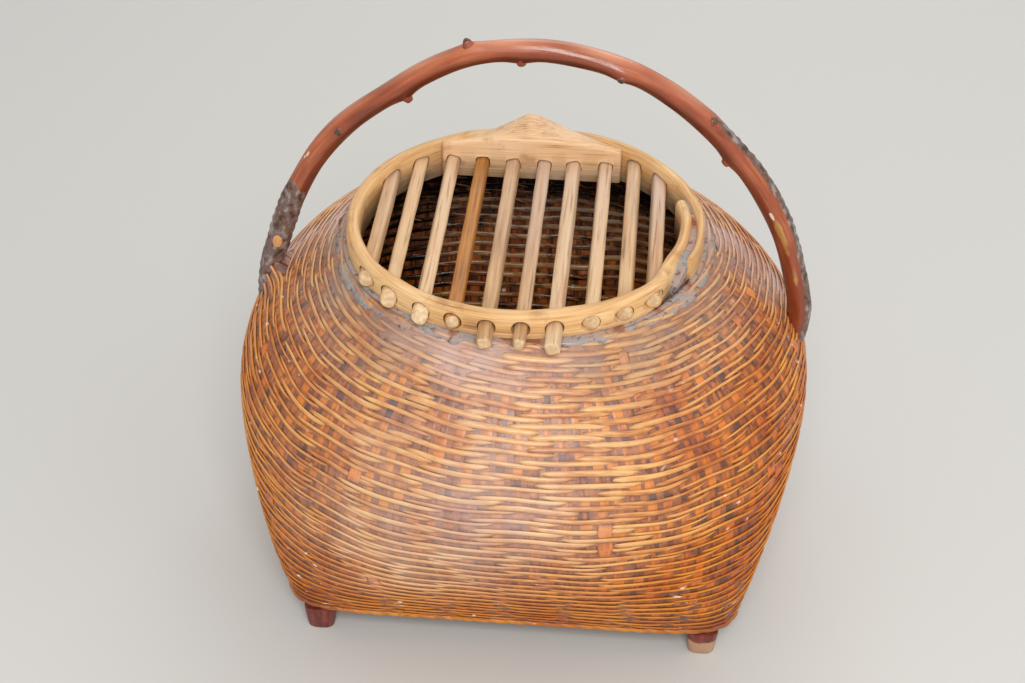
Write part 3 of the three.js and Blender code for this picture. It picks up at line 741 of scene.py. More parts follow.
PANEL_HALF_WIDTH = 138.0
PANEL_HALF_DEPTH = 104.0
PANEL_HEIGHT = 21.2
PANEL_PITCH = 9.0
PANEL_SPLINT = 7.6
PANEL_THICKNESS = 0.9
PANEL_WAVE = 0.75
PANEL_POWER = 2 + BASE_SQUARENESS
LENGTHWAYS = 23
CROSSWAYS = 30
PANEL_STEPS = 64
SKIN_HALF_THICKNESS = 0.2
SKIN_INSET = 0.5
SKIN_SIDES = 120


def plaited(count, half, other_half, other_count, phase):
    """Splints side by side: how far along and across each point is, and its height. Each splint ends at
    the panel's outline, and rises and sinks once in every four that it crosses."""
    place = ((np.arange(count) - (count - 1) / 2) * PANEL_PITCH)[:, None, None]
    reach = half * (1 - np.abs(place / other_half) ** PANEL_POWER) ** (1 / PANEL_POWER) - 1
    along = reach * np.linspace(-1, 1, PANEL_STEPS)[None, :, None]
    crossed = along / PANEL_PITCH + (other_count - 1) / 2
    own = np.arange(count)[:, None, None]
    wave = PANEL_WAVE * np.cos(0.5 * np.pi * (crossed + own + 0.5) + phase)
    across = place + PANEL_SPLINT / 2 * np.array([-1.0, -0.7, 0.7, 1.0, 0.7, -0.7])
    up = PANEL_HEIGHT + wave + PANEL_THICKNESS / 2 * np.array([0.0, -1.0, -1.0, 0.0, 1.0, 1.0])
    return np.broadcast_arrays(along, across, up)


along, across, up = plaited(LENGTHWAYS, PANEL_HALF_WIDTH, PANEL_HALF_DEPTH, CROSSWAYS, 0.0)
lengthways = np.stack([along, across, up], -1)
along, across, up = plaited(CROSSWAYS, PANEL_HALF_DEPTH, PANEL_HALF_WIDTH, LENGTHWAYS, np.pi)
crossways = np.stack([across, along, up], -1)[:, :, ::-1]
panel_points = np.concatenate([lengthways, crossways])
panel = new_piece("floor_splints", panel_points, stake_finish)
panel_tone = dice.random((LENGTHWAYS + CROSSWAYS, 1, 1))
panel_out = panel_points[..., 2] - PANEL_HEIGHT - 0.8
paint_splints(panel, panel_points, panel_tone, panel_out, TONE_STREAKS * panel_tone)
skin_finish, tree = new_finish("floor_pitch", roughness=0.5)
skin_tone = graded(tree, grainy(tree, 160.0), [(0.35, COAT_DARK), (0.7, COAT_BROWN)])
finished(tree, skin_tone, grainy(tree, 700.0), 0.4, 0.001)
skin_sizes = (PANEL_HALF_WIDTH - SKIN_INSET, PANEL_HALF_DEPTH - SKIN_INSET)
skin_edge = even_outline(*skin_sizes, PANEL_POWER, SKIN_SIDES)
skin_levels = PANEL_HEIGHT + SKIN_HALF_THICKNESS * np.array([-1.0, 1.0])
skin_points = lifted(np.stack([skin_edge, skin_edge]), skin_levels[:, None])
skin = new_piece("floor_skin", skin_points, skin_finish, smooth=False)
for piece in (panel, skin):
    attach(piece, "basket")
    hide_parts("woven_floor")

# Corner feet. Tapered wooden blocks, cut by hand and lacquered dark red, each with a round tenon up
# through the floor panel. Their soles and edges are worn to bare wood.

FOOT_X = 119.0
FOOT_Y = 98.5
FOOT_LEVELS = np.array([0.0, 0.5, 2.0, 6.0, 10.0, 14.0, 17.4, 18.4, 18.6])
FOOT_INSETS = np.array([1.8, 0.7, 0.0, 0.0, 0.0, 0.0, 0.0, 0.3, 1.0])
FOOT_SOLE = (8.0, 7.0)
FOOT_TOP = (10.0, 9.0)
FOOT_SQUARENESS = 3.4
FOOT_SIDES = 32
FOOT_CUTS = 0.022
TENON_RADIUS = 4.0
TENON_INSET = 4.0
TENON_LEVELS = np.array([18.6, 30.0, 40.2, 41.0])
TENON_INSETS = np.array([0.0, 0.0, 0.0, 0.8])
FOOT_DARK = (92, 38, 30)
FOOT_RED = (138, 64, 50)
FOOT_BARE = (196, 160, 128)
FOOT_BARE_DARK = (168, 122, 92)
CRISP_ANGLE = math.radians(50)

foot_finish, tree = new_finish("foot_lacquer", specular_ior_level=0.45)
foot_streak = grainy(tree, 420.0, 4.0, (1.0, 1.0, 0.2))
foot_tone = graded(tree, foot_streak, [(0.35, FOOT_DARK), (0.7, FOOT_RED)])
foot_wear = worked(tree, "ADD", value_of(tree, "worn"), grainy(tree, 240.0, 5.0))
foot_bare = ranged(tree, foot_wear, 0.86, 1.04)
foot_tone = mixed(tree, foot_bare, foot_tone, mixed(tree, foot_streak, FOOT_BARE, FOOT_BARE_DARK))
finished(tree, foot_tone, foot_streak, 0.5, 0.0008, ranged(tree, foot_bare, 0.0, 1.0, 0.42, 0.75))


def full_turn(count):
    """Angles at even steps round a full turn."""
    return 2 * np.pi * np.arange(count) / count


foot_angle = full_turn(FOOT_SIDES)
for side_x, side_y, name, bare_height in (
    (-1, -1, "foot_front_left", 1.0), (1, -1, "foot_front_right", 11.0),
    (-1, 1, "foot_back_left", 2.0), (1, 1, "foot_back_right", 3.0),
):
    share = FOOT_LEVELS[:, None] / FOOT_LEVELS[-1]
    half = [FOOT_SOLE[i] + (FOOT_TOP[i] - FOOT_SOLE[i]) * share - FOOT_INSETS[:, None] for i in (0, 1)]
    cuts = 1 + FOOT_CUTS * np.sin(3 * foot_angle + 2 * side_x + side_y) * np.sin(np.pi * share)
    block = outline(foot_angle[None, :], half[0] * cuts, half[1] * cuts, FOOT_SQUARENESS)
    radius = (TENON_RADIUS - TENON_INSETS)[:, None]
    shank = outline(foot_angle[None, :], radius, radius, 2.0) - TENON_INSET * np.array([side_x, side_y])
    foot_points = np.concatenate([lifted(block, FOOT_LEVELS[:, None]), lifted(shank, TENON_LEVELS[:, None])])
    foot_points = foot_points + np.array([side_x * FOOT_X, side_y * FOOT_Y, 0.0])
    foot = new_piece(name + "_block", foot_points, foot_finish)
    foot.data.set_sharp_from_angle(angle=CRISP_ANGLE)
    edge = 0.2 * np.abs(np.sin(2 * foot_angle)) ** 6
    sole = smooth_step((bare_height - foot_points[..., 2]) / 5 + 0.5)
    paint(foot, sole.shape, worn=0.8 * sole + edge)
    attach(foot, "basket")
    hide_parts(name)

# Rim strip. One length of bamboo, bent round the mouth for a turn and a lap, with its skin worn and a
# seam along the outside. Holes are drilled through the front, and at the ends of the row into the back as far
# as the rods' ends.

RIM_HALF_WIDTH = 101.0
RIM_HALF_DEPTH = 95.5
RIM_THICKNESS = 8.0
LAP_START = 15.0
LAP_ANGLE = 36.0
LAP_EASE = 26.0
LAP_THICKNESS = 6.4
LAP_GAP = 1.6
TAIL_THICKNESS = 3.0
RIM_STEPS = 330
RIM_DUST_TOP = 239.0
HOLE_HEIGHT = 241.5
HOLE_RADIUS = 5.3
HOLE_START = -115.0
HOLE_SIDES = 28
HOLE_CRISP_ANGLE = math.radians(40)
# Round the section from the foot of the outside: share of the thickness, step inwards, height
RIM_SECTION = np.array([
    (0, 0.4, 227.0), (0, 0.0, 227.6), (0, 0.0, 237.9), (0, 0.45, 238.4), (0, 0.0, 238.9), (0, 0.0, 247.1),
    (0, 0.4, 247.6), (0, 0.1, 248.1), (0, 0.7, 249.6), (0, 1.7, 250.6), (0, 2.9, 250.9), (1, -2.9, 250.9),
    (1, -1.5, 250.4), (1, -0.5, 249.1), (1, 0.0, 247.2), (1, 0.0, 227.6), (1, -0.4, 227.0),
])
RIM_BROWN = (178, 124, 76)
RIM_TAN = (216, 168, 110)
RIM_CREAM = (238, 204, 154)
CRACK_BROWN = (120, 74, 44)
BLOTCH_BROWN = (164, 104, 64)
SOCKET_HALF = 4.5
SOCKET_SLACK = 0.6
ROD_POWER = 3.8
ROD_ROLLS = [0.2, -0.25, -0.3, 0.08, 0.25, -0.12, 0.3, -0.2, 0.22, -0.3]
ROD_NAMES = [f"rod_{number:02d}" for number in range(1, 11)]
rod_boxes = [np.array(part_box(name)) / MILLIMETRE for name in ROD_NAMES]
rod_middles = [tuple(box.mean(0)[[0, 2]]) for box in rod_boxes]


def rounded_square(angle, half, power, roll):
    """Reach |sin|^n + |cos|^n = 1 of a turned section: a circle at power 2, nearly square above 5."""
    turned = angle + roll
    return half * (np.abs(np.sin(turned)) ** power + np.abs(np.cos(turned)) ** power) ** (-1 / power)


def drilled(piece, holes):
    """Cuts holes along Y, each given by its x, its height, its half width, the places in y where it starts
    and ends, and the power and turn of its section, and keeps their edges crisp."""
    x, z, half, start, end, power, roll = np.array(holes).T[:, :, None, None]
    angle = full_turn(HOLE_SIDES)[None, None, :]
    y = start + (end - start) * np.array([0.0, 1.0])[None, :, None] + 0 * angle
    radius = rounded_square(angle, half, power, roll)
    drill_points = np.stack([x + radius * np.sin(angle) + 0 * y, y, z + radius * np.cos(angle) + 0 * y], -1)
    drill = new_piece("drill", drill_points, piece.data.materials[0])
    cut = piece.modifiers.new("holes", "BOOLEAN")
    cut.object = drill
    cut.solver = "EXACT"
    shaped = piece.evaluated_get(bpy.context.evaluated_depsgraph_get())
    piece.data = bpy.data.meshes.new_from_object(shaped)
    piece.modifiers.clear()
    bpy.data.objects.remove(drill)
    piece.data.set_sharp_from_angle(angle=HOLE_CRISP_ANGLE)


def socket(number, start, end):
    """The hole for the back end of a rod, between two places in y."""
    return (*rod_middles[number], SOCKET_HALF, start, end, ROD_POWER, ROD_ROLLS[number])


def along_rim(tree):
    """Coordinates that run round the basket: the way round, the distance from the middle and the height.
    They start and end at the lap."""
    turn = (0, 0, math.radians(-180 - LAP_START))
    turned = node(tree, "Mapping", {"Vector": own_place(tree), "Rotation": turn}).outputs[0]
    x, y, z = node(tree, "SeparateXYZ", {0: turned}).outputs
    way = node(tree, "Math", {0: y, 1: x}, operation="ARCTAN2").outputs[0]
    way = worked(tree, "MULTIPLY", way, RIM_HALF_WIDTH * MILLIMETRE)
    flat = node(tree, "CombineXYZ", {0: x, 1: y}).outputs[0]
    reach = node(tree, "VectorMath", {0: flat}, operation="LENGTH").outputs["Value"]
    return node(tree, "CombineXYZ", {0: way, 1: reach, 2: z}).outputs[0]


def bamboo_finish(name, coordinates, dust_top, stops):
    """Bare bamboo: fibres that run along the piece, worn pale patches, brown handling marks, fine
    cracks, and grey dust up to a height."""
    material, tree = new_finish(name, specular_ior_level=0.4)
    place = coordinates(tree)
    fibre = noise(tree, place, 900.0, 4.0, (0.03, 1.0, 1.0))
    broad = noise(tree, place, 90.0, 4.0, (0.25, 1.0, 1.0))
    tone = ranged(tree, worked(tree, "ADD", fibre, broad), 0.6, 1.4)
    colour = graded(tree, tone, stops)
    colour = stained(tree, colour, CRACK_BROWN, fibre, 0.27, 0.34, 0.6, 0.0)
    colour = stained(tree, colour, BLOTCH_BROWN, grainy(tree, 70.0, 5.0), 0.58, 0.72, 0.0, 0.55)
    height = node(tree, "SeparateXYZ", {0: own_place(tree)}).outputs[2]
    settled = ranged(tree, height, (dust_top - 9) * MILLIMETRE, dust_top * MILLIMETRE, 0.95, 0.0)
    dust = worked(tree, "MULTIPLY", ranged(tree, grainy(tree, 120.0, 5.0), 0.35, 0.62), settled)
    colour = mixed(tree, dust, colour, DUST_BROWN)
    finished(tree, colour, tone, 0.35, 0.0007, ranged(tree, broad, 0.3, 0.7, 0.4, 0.62))
    return material


def in_lap(travelled):
    """1 inside the lap, easing to 0 after it, at degrees from the start of the strip."""
    return 1 - smooth_step((travelled - LAP_ANGLE) / LAP_EASE)


def rim_outside(travelled):
    """How far the strip's outside lies from its middle line, at degrees from its start."""
    return RIM_THICKNESS / 2 - (LAP_THICKNESS + LAP_GAP) * in_lap(travelled)


def on_rim(angle, out):
    """Points round the rim's middle ellipse, moved out along its normal."""
    c, s = np.cos(angle), np.sin(angle)
    middle = np.stack([RIM_HALF_WIDTH * c, RIM_HALF_DEPTH * s], -1)
    return middle + unit(np.stack([RIM_HALF_DEPTH * c, RIM_HALF_WIDTH * s], -1)) * out[..., None]


rim_stops = [(0.0, RIM_BROWN), (0.45, RIM_TAN), (1.0, RIM_CREAM)]
rim_finish = bamboo_finish("rim_bamboo_skin", along_rim, RIM_DUST_TOP, rim_stops)
travelled = np.linspace(0, 360 + LAP_ANGLE, RIM_STEPS + 1)[:, None]
angle = np.radians(LAP_START - travelled)
out_lap = smooth_step((travelled - 360 + LAP_EASE) / LAP_EASE)
tail = smooth_step((travelled - 360) / LAP_ANGLE)
thickness = RIM_THICKNESS - (RIM_THICKNESS - LAP_THICKNESS) * np.maximum(in_lap(travelled), out_lap)
thickness = thickness - (LAP_THICKNESS - TAIL_THICKNESS) * tail
share, inset, section_height = RIM_SECTION.T
inwards = share * thickness + inset * np.minimum(1.0, thickness / 6.5)
sway = (0.22 * np.sin(7 * angle + 1) + 0.16 * np.sin(17 * angle)) * (section_height > 240)
crest = (0.3 * np.sin(5 * angle + 2) + 0.2 * np.sin(13 * angle)) * (section_height > 244)
rim_points = lifted(on_rim(angle, rim_outside(travelled) - inwards + sway), section_height + crest - 0.3)
rim = new_piece("rim_strip", rim_points, rim_finish)
front_holes = [(x, HOLE_HEIGHT, HOLE_RADIUS, HOLE_START, 0.0, 2.0, 0.0) for x, z in rod_middles]
back_holes = [socket(number, 0.0, rod_boxes[number][1][1] + SOCKET_SLACK) for number in (0, 1, 8, 9)]
drilled(rim, front_holes + back_holes)
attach(rim, "basket")
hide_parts("rim_hoop")

# Neck and lap filler. Grey dirt and old putty fill the corner between the weave and the rim strip,
# thicker at the sides, and the gap between the lapped ends of the strip.

FILLER_TOP = 235.6
FILLER_STEPS = 420
FILLER_LEAST = 1.2
FIRST_RODS = (3.95, 0.3)
LAP_FILLER_STEPS = 60
LAP_FILLER_TOP = 247.5
LAP_FILLER_FOOT = 229.0
FILLER_GREY = (158, 152, 148)
FILLER_PINK = (178, 148, 134)
FILLER_BROWN = (150, 96, 66)
FILLER_DARK = (92, 80, 78)

filler_finish, tree = new_finish("neck_dirt", roughness=0.85, specular_ior_level=0.2)
filler_grain = grainy(tree, 260.0, 7.0)
filler_stops = [(0.36, FILLER_BROWN), (0.45, FILLER_PINK), (0.58, FILLER_GREY)]
filler_tone = graded(tree, grainy(tree, 55.0, 3.0), filler_stops)
filler_tone = stained(tree, filler_tone, FILLER_DARK, filler_grain, 0.33, 0.45, 0.8, 0.0)
finished(tree, filler_tone, filler_grain, 0.9, 0.002)
angle = full_turn(FILLER_STEPS)
lump = 0.9 * np.sin(9 * angle) + 0.8 * np.sin(23 * angle + 1) + 0.7 * np.sin(41 * angle + 2)
lump = lump + 0.5 * np.sin(67 * angle)
spread = 3.4 + 2.4 * np.abs(np.cos(angle)) ** 3 + 3.0 * bell((angle, *FIRST_RODS)) + lump
spread = 1 - np.maximum(FILLER_LEAST, spread) / WALL_LENGTH
weave_turn = np.arange(FILLER_STEPS) / FILLER_STEPS
low_ring = on_wall(weave_turn, spread, -0.15)
deep_ring = on_wall(weave_turn, spread, -2.6)
rim_half = np.array([RIM_HALF_WIDTH, RIM_HALF_DEPTH]) + RIM_THICKNESS / 2
rim_edge = rim_half * np.stack([np.cos(angle), np.sin(angle)], -1)
top_out = lifted(rim_edge * 1.01, FILLER_TOP - 0.5 + 0.15 * lump)
top_in = lifted(rim_edge * 0.985, FILLER_TOP - 0.3)
bulge = 0.5 * (low_ring + top_out)
bulge[:, 2] += 0.25 + 0.15 * lump
filler_points = np.stack([top_in, top_out, bulge, low_ring, deep_ring], 1)
neck_filler = new_piece("neck_filler", filler_points, filler_finish, loop=True)
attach(neck_filler, "basket")
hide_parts("woven_wall")

lap = np.linspace(-3, LAP_ANGLE + 9, LAP_FILLER_STEPS)
lap_inner = rim_outside(lap) - 0.2
lap_outer = (LAP_THICKNESS - TAIL_THICKNESS) * smooth_step(lap / LAP_ANGLE)
lap_outer = np.maximum(RIM_THICKNESS / 2 - LAP_THICKNESS + lap_outer, lap_inner + 0.5) + 0.3
lap_top = LAP_FILLER_TOP - 10 * smooth_step((lap - LAP_ANGLE + 2) / 10)
lap_top = lap_top + 0.4 * np.sin(lap) + 0.3 * np.sin(2.7 * lap)
lap_points = np.stack([lifted(on_rim(np.radians(LAP_START - lap), out), height) for out, height in (
    (lap_outer, LAP_FILLER_FOOT), (lap_outer, lap_top - 0.4),
    (lap_inner, lap_top), (lap_inner, LAP_FILLER_FOOT),
)], 1)
lap_filler = new_piece("lap_filler", lap_points, filler_finish, smooth=False)
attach(lap_filler, "basket")
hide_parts("rim_hoop")

# Back board. A half-moon block of the same bamboo-coloured wood, carved to a peak at its back edge and
# let into the back of the rim, with blind holes for the ends of six rods.

BOARD_FRONT = 67.5
BOARD_LEFT_MARGIN = 7.0
BOARD_RIGHT_MARGIN = 9.5
BOARD_BOTTOM = 231.0
BOARD_FRONT_TOP = 254.0
BOARD_CROWN = 6.0
BOARD_BACK_TOP = 251.0
BOARD_PEAK = 15.68
BOARD_PEAK_PLACE = -4.0
BOARD_PEAK_REACH = (40.0, 50.0)
BOARD_STEPS = 120
BOARD_DUST_TOP = 236.0
BOARD_BUMP = 1.6
BOARD_BUMP_X = (-37.0, 2.2)
BOARD_TAN = (228, 182, 134)
BOARD_CREAM = (244, 212, 174)
SOCKET_START = 50.0
SOCKET_DEPTH = 7.0

board_stops = [(0.0, RIM_BROWN), (0.35, BOARD_TAN), (1.0, BOARD_CREAM)]
board_finish = bamboo_finish("board_wood", own_place, BOARD_DUST_TOP, board_stops)
board_left = rod_boxes[2].mean(0)[0] - BOARD_LEFT_MARGIN
board_right = rod_boxes[7].mean(0)[0] + BOARD_RIGHT_MARGIN
board_x = np.linspace(board_left, board_right, BOARD_STEPS + 1)
across = np.linspace(-1, 1, BOARD_STEPS + 1)
end_round = 1.2 * ramp(np.abs(across), 0.985, 1.0) ** 2
from_peak = board_x - BOARD_PEAK_PLACE
from_peak = np.minimum(1, np.abs(from_peak) / np.where(from_peak < 0, *BOARD_PEAK_REACH))
from_peak = np.sqrt(from_peak**2 + 0.005) * (1 - 0.0025)
front_top = BOARD_FRONT_TOP + BOARD_CROWN * (1 - across**2) - end_round
back_top = BOARD_BACK_TOP + BOARD_PEAK * np.clip(1 - from_peak, 0, 1) ** 1.7 - end_round
back_top = back_top + BOARD_BUMP * bell((board_x, *BOARD_BUMP_X))
back_y = (RIM_HALF_DEPTH - 4) * np.sqrt(1 - (board_x / (RIM_HALF_WIDTH - 4)) ** 2) - 0.5
front_y = BOARD_FRONT + end_round
middle_top = 0.5 * (front_top + back_top) + 0.3 * np.sin(board_x / 6)
floor_z = BOARD_BOTTOM + 0 * board_x
board_points = np.stack([np.stack([board_x, y, z], -1) for y, z in (
    (front_y + 0.4, floor_z), (back_y, floor_z), (back_y, back_top - 1.6), (back_y - 0.5, back_top - 0.5),
    (back_y - 1.6, back_top), (0.5 * (front_y + back_y), middle_top), (front_y + 2.6, front_top - 0.1),
    (front_y + 1.2, front_top - 0.5), (front_y + 0.3, front_top - 1.6), (front_y, front_top - 3.0),
    (front_y, floor_z + 0.5),
)], 1)
board = new_piece("board_block", board_points, board_finish)
drilled(board, [socket(number, SOCKET_START, BOARD_FRONT + SOCKET_DEPTH) for number in range(2, 8)])
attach(board, "basket")
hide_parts("back_board")

# Grille rods. Ten whittled bamboo rods slide through the rim. Each is a little flat-sided and uneven,
# with its own worn end; the fourth is darker, with its amber skin left on.

ROD_HALF = 4.15
ROD_HEIGHT_SHARE = 0.86
ROD_SIDES = 40
ROD_STEPS = 46
ROD_BACK_END = 1.5
ROD_BOW = 0.15
ROD_END_LENGTHS = [1.2, 1.4, 1.2, 2.2, 0.7, 5.0, 0.8, 1.0, 1.0, 1.0]
ROD_END_POWERS = [2.4, 2.4, 2.6, 2.8, 5.0, 3.2, 5.0, 2.2, 2.2, 2.2]
ROD_END_HALVES = [4.5, 4.7, 4.6, 4.3, 3.75, 3.7, 3.85, 4.85, 4.85, 4.85]
ROD_END_CUTS = [3.2, 5.0, 6.0, 1.5, 0.3, 0.0, 0.0, 0.6, 0.6, 0.6]
ROD_CUT_REACH = 12.0
ROD_TONES = [0.2, 0.45, 0.65, 0.25, 0.15, 0.12, 0.75, 0.6, 0.3, 0.3]
ROD_GREYS = [0.4, 0.1, 0.2, 0.0, 0.35, 0.7, 0.35, 0.45, 0.35, 0.8]
ROD_PALE = (227, 196, 160)
ROD_STRAW = (209, 169, 122)
ROD_BROWN = (172, 130, 88)
ROD_GREY = (204, 178, 160)
ROD_STAIN = (186, 132, 92)
ROD_STREAK = (126, 88, 60)
ROD_END_DARK = (196, 160, 118)
ROD_END_PALE = (222, 194, 152)
AMBER_PALE = (206, 150, 84)
AMBER = (184, 122, 56)
AMBER_BROWN = (140, 84, 36)
AMBER_NUMBER = 3


def rod_finish(name, brown, main, pale):
    """Whittled bamboo: long fibres, brown streaks and dirt, worn paler where hands hold the rod, with
    pale end grain."""
    material, tree = new_finish(name, specular_ior_level=0.4)
    fibre = grainy(tree, 700.0, 4.0, (1.0, 0.035, 1.0))
    broad = grainy(tree, 90.0, 4.0, (1.0, 0.3, 1.0))
    tone = ranged(tree, worked(tree, "ADD", fibre, broad, value_of(tree, "tone")), 0.9, 2.1)
    colour = graded(tree, tone, [(0.0, brown), (0.4, main), (1.0, pale)])
    colour = mixed(tree, value_of(tree, "grey"), colour, ROD_GREY)
    dirt = grainy(tree, 260.0, 5.0, (1.0, 0.07, 1.0))
    colour = stained(tree, colour, ROD_STAIN, dirt, 0.54, 0.68, 0.0, 0.6)
    colour = stained(tree, colour, ROD_STREAK, fibre, 0.3, 0.42, 0.6, 0.0)
    end_colour = stained(tree, ROD_END_DARK, ROD_END_PALE, grainy(tree, 420.0, 3.0), 0.35, 0.65)
    colour = mixed(tree, value_of(tree, "end"), colour, end_colour)
    finished(tree, colour, tone, 0.4, 0.0008, ranged(tree, broad, 0.3, 0.7, 0.38, 0.6))
    return material


straw_finish = rod_finish("rod_straw_skin", ROD_BROWN, ROD_STRAW, ROD_PALE)
amber_finish = rod_finish("rod_amber_skin", AMBER_BROWN, AMBER, AMBER_PALE)
rod_angle = full_turn(ROD_SIDES)[None, :]
for number, (low, high) in enumerate(rod_boxes):
    middle = 0.5 * (low + high)
    length = high[1] - low[1]
    worn_end = ROD_END_LENGTHS[number]
    front_end = worn_end * np.array([0.0, 0.04, 0.15, 0.4, 0.7, 1.0])
    shaft = np.linspace(worn_end + 1, length - ROD_BACK_END, ROD_STEPS - 8)
    place = np.r_[front_end, shaft, length - 0.4, length][:, None]
    to_front = np.clip(1 - place / worn_end, 0, 1)
    to_back = np.clip(1 - (length - place) / ROD_BACK_END, 0, 1)
    taper = np.sqrt(1 - 0.6 * to_front**2) * (1 - 0.2 * to_back**2)
    in_hole = 1 - smooth_step((place - worn_end - 6) / 14)
    dents = 0.016 * np.sin(place / 9 + 2 * number) + 0.01 * np.sin(place / 3.7 + number) - 0.026
    half = (ROD_HALF * (1 + dents) * (1 - in_hole) + ROD_END_HALVES[number] * in_hole) * taper
    power = ROD_POWER + (ROD_END_POWERS[number] - ROD_POWER) * in_hole
    reach = rounded_square(rod_angle, half, power, ROD_ROLLS[number])
    rise = (ROD_HEIGHT_SHARE + (1 - ROD_HEIGHT_SHARE) * in_hole) * reach * np.cos(rod_angle)
    cut_back = 0.5 * ROD_END_CUTS[number] * (1 + rise / ROD_HALF) * ramp(place, ROD_CUT_REACH, 0)
    bow = ROD_BOW * np.sin(np.pi * place / length) * math.sin(3 * number + 1)
    rod_points = middle + np.stack([
        bow + reach * np.sin(rod_angle),
        place - length / 2 + cut_back,
        rise,
    ], -1)
    finish = amber_finish if number == AMBER_NUMBER else straw_finish
    rod = new_piece(f"{ROD_NAMES[number]}_cane", rod_points, finish)
    rod.data.set_sharp_from_angle(angle=CRISP_ANGLE)
    grey = ROD_GREYS[number] * smooth_step(place / length)
    paint(rod, reach.shape, end=place < 0.2 * worn_end, tone=ROD_TONES[number], grey=grey)
    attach(rod, ROD_NAMES[number])
    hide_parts(ROD_NAMES[number])

# Handle. A natural branch bent over the basket, polished red-brown by the hand, with its bark left on
# the left leg and along the outside of the right leg. Its ends go through the shoulders of the weave.
# Its top is painted paler as a highlight and its underside darker as shade.

HANDLE_HEIGHT = 192.0
HANDLE_SHIFT = 3.0
HANDLE_OUTSET = 3.0
HANDLE_RADIUS = 6.4
HANDLE_REACH = 159.5
BARK_RADIUS = 6.9
BARK_LEFT = 151.0
BARK_RIGHT = 42.0
BARK_FADE = 14.0
BARK_STRIP = 54.0
BARK_WIDER = 26.0
BARK_TURN = 0.6
# Angles along the arch are in degrees from the right leg
BEND_ANGLES = np.array([-16, 0, 8, 25, 45, 72, 104, 120, 136, 155, 168, 180, 196], float)
BEND_LENGTHS = np.array([-1, 2, -0.5, -2.5, -1.5, 5.5, 5, -2.5, -4, -6, -5, 0, 0], float)
KNOT_ANGLES = np.array([134, 118, 101.5, 92, 72, 52, 42.5])
KNOT_ROLLS = np.radians([80, 175, 10, 165, 115, 40, 165])
KNOT_RADII = np.array([4, 3.5, 3.5, 4, 3.5, 4, 4])
KNOT_HEIGHTS = np.array([2.2, 4, 4.5, 3, 2.4, 2.4, 3.2])
KNOT_SWELLING = 1.5
HANDLE_STEPS = 620
HANDLE_SIDES = 30
HANDLE_DARK = (116, 52, 30)
HANDLE_RED = (160, 77, 41)
HANDLE_LIGHT = (200, 116, 70)
# Wash of painted shade for the underside of the handle
HANDLE_SHADE = (166, 130, 108)
# Colour of the pale painted highlight along the top of the handle
HANDLE_HIGHLIGHT = (226, 158, 122)
BARK_DARK = (52, 42, 38)
BARK_BROWN = (116, 78, 56)
BARK_PURPLE = (104, 88, 88)
BARK_GREY = (152, 134, 122)
SCRAPE_PALE = (226, 206, 178)
BARE_YELLOW = (206, 158, 84)
POLISHED = {"specular_ior_level": 0.5, "coat_weight": 0.35, "coat_roughness": 0.16}


def flowing(place, places, values):
    """Smooth curve through values at places: a cubic in each span, with slopes from its neighbours."""
    slopes = np.gradient(values, places)
    span = np.clip(np.searchsorted(places, place) - 1, 0, len(places) - 2)
    width = places[span + 1] - places[span]
    t = (place - places[span]) / width
    start = (1 + 2 * t) * (1 - t) ** 2 * values[span] + t * (1 - t) ** 2 * width * slopes[span]
    end = t**2 * (3 - 2 * t) * values[span + 1] + t**2 * (t - 1) * width * slopes[span + 1]
    return start + end


def handle_line(theta):
    """Middle of the branch, and its outward direction, at angles along the arch."""
    def at(theta):
        reach = wall_half(np.array(HANDLE_HEIGHT), **WIDTH) + HANDLE_OUTSET
        reach = reach + flowing(theta, BEND_ANGLES, BEND_LENGTHS)
        angle = np.radians(theta)
        arch = (HANDLE_SHIFT + reach * np.cos(angle), 0 * theta, HANDLE_HEIGHT + reach * np.sin(angle))
        return np.stack(arch, -1)
    forward = at(theta + 0.05) - at(theta - 0.05)
    return at(theta), unit(np.stack([forward[..., 2], 0 * theta, -forward[..., 0]], -1))


def on_grain(tree, scale, detail, stretch):
    """Noise on the painted grain, stretched along it."""
    place = node(tree, "Attribute", attribute_name="grain").outputs["Vector"]
    return noise(tree, place, scale, detail, (stretch, 1.0, 1.0))


handle_finish, tree = new_finish("handle_wood", **POLISHED)
grain = on_grain(tree, 420.0, 5.0, 0.08)
cloud = on_grain(tree, 60.0, 4.0, 0.5)
ragged = on_grain(tree, 260.0, 6.0, 0.5)
handle_tone = ranged(tree, worked(tree, "ADD", grain, cloud), 0.56, 1.44)
colour = graded(tree, handle_tone, [(0.0, HANDLE_DARK), (0.5, HANDLE_RED), (1.0, HANDLE_LIGHT)])
bare = worked(tree, "MULTIPLY", value_of(tree, "bare"), ragged)
colour = stained(tree, colour, BARE_YELLOW, bare, 0.3, 0.5)
# Painted highlight along the top
colour = mixed(tree, value_of(tree, "handled"), colour, HANDLE_HIGHLIGHT)
# Painted shade on the underside
colour = mixed(tree, value_of(tree, "under"), colour, washed(tree, colour, HANDLE_SHADE))
bark_stops = [(0.36, BARK_DARK), (0.46, BARK_BROWN), (0.54, BARK_PURPLE), (0.64, BARK_GREY)]
bark_tone = graded(tree, on_grain(tree, 260.0, 9.0, 0.7), bark_stops)
bark = raised(tree, value_of(tree, "bark"), worked(tree, "ADD", ragged, -0.5), 1.1)
bark = ranged(tree, bark, 0.45, 0.58)
colour = mixed(tree, bark, colour, bark_tone)
scrape = worked(tree, "MULTIPLY", value_of(tree, "scrape"), ragged)
colour = stained(tree, colour, SCRAPE_PALE, scrape, 0.36, 0.44)
polish = raised(tree, ranged(tree, cloud, 0.3, 0.7, 0.24, 0.46), bark, 0.35)
finished(tree, colour, raised(tree, grain, bark, 0.8), 0.5, 0.0012, polish)

theta = np.linspace(BEND_ANGLES[-1], BEND_ANGLES[0], HANDLE_STEPS)
line, outward = handle_line(theta)
theta = theta[:, None]
roll = full_turn(HANDLE_SIDES)[None, :]


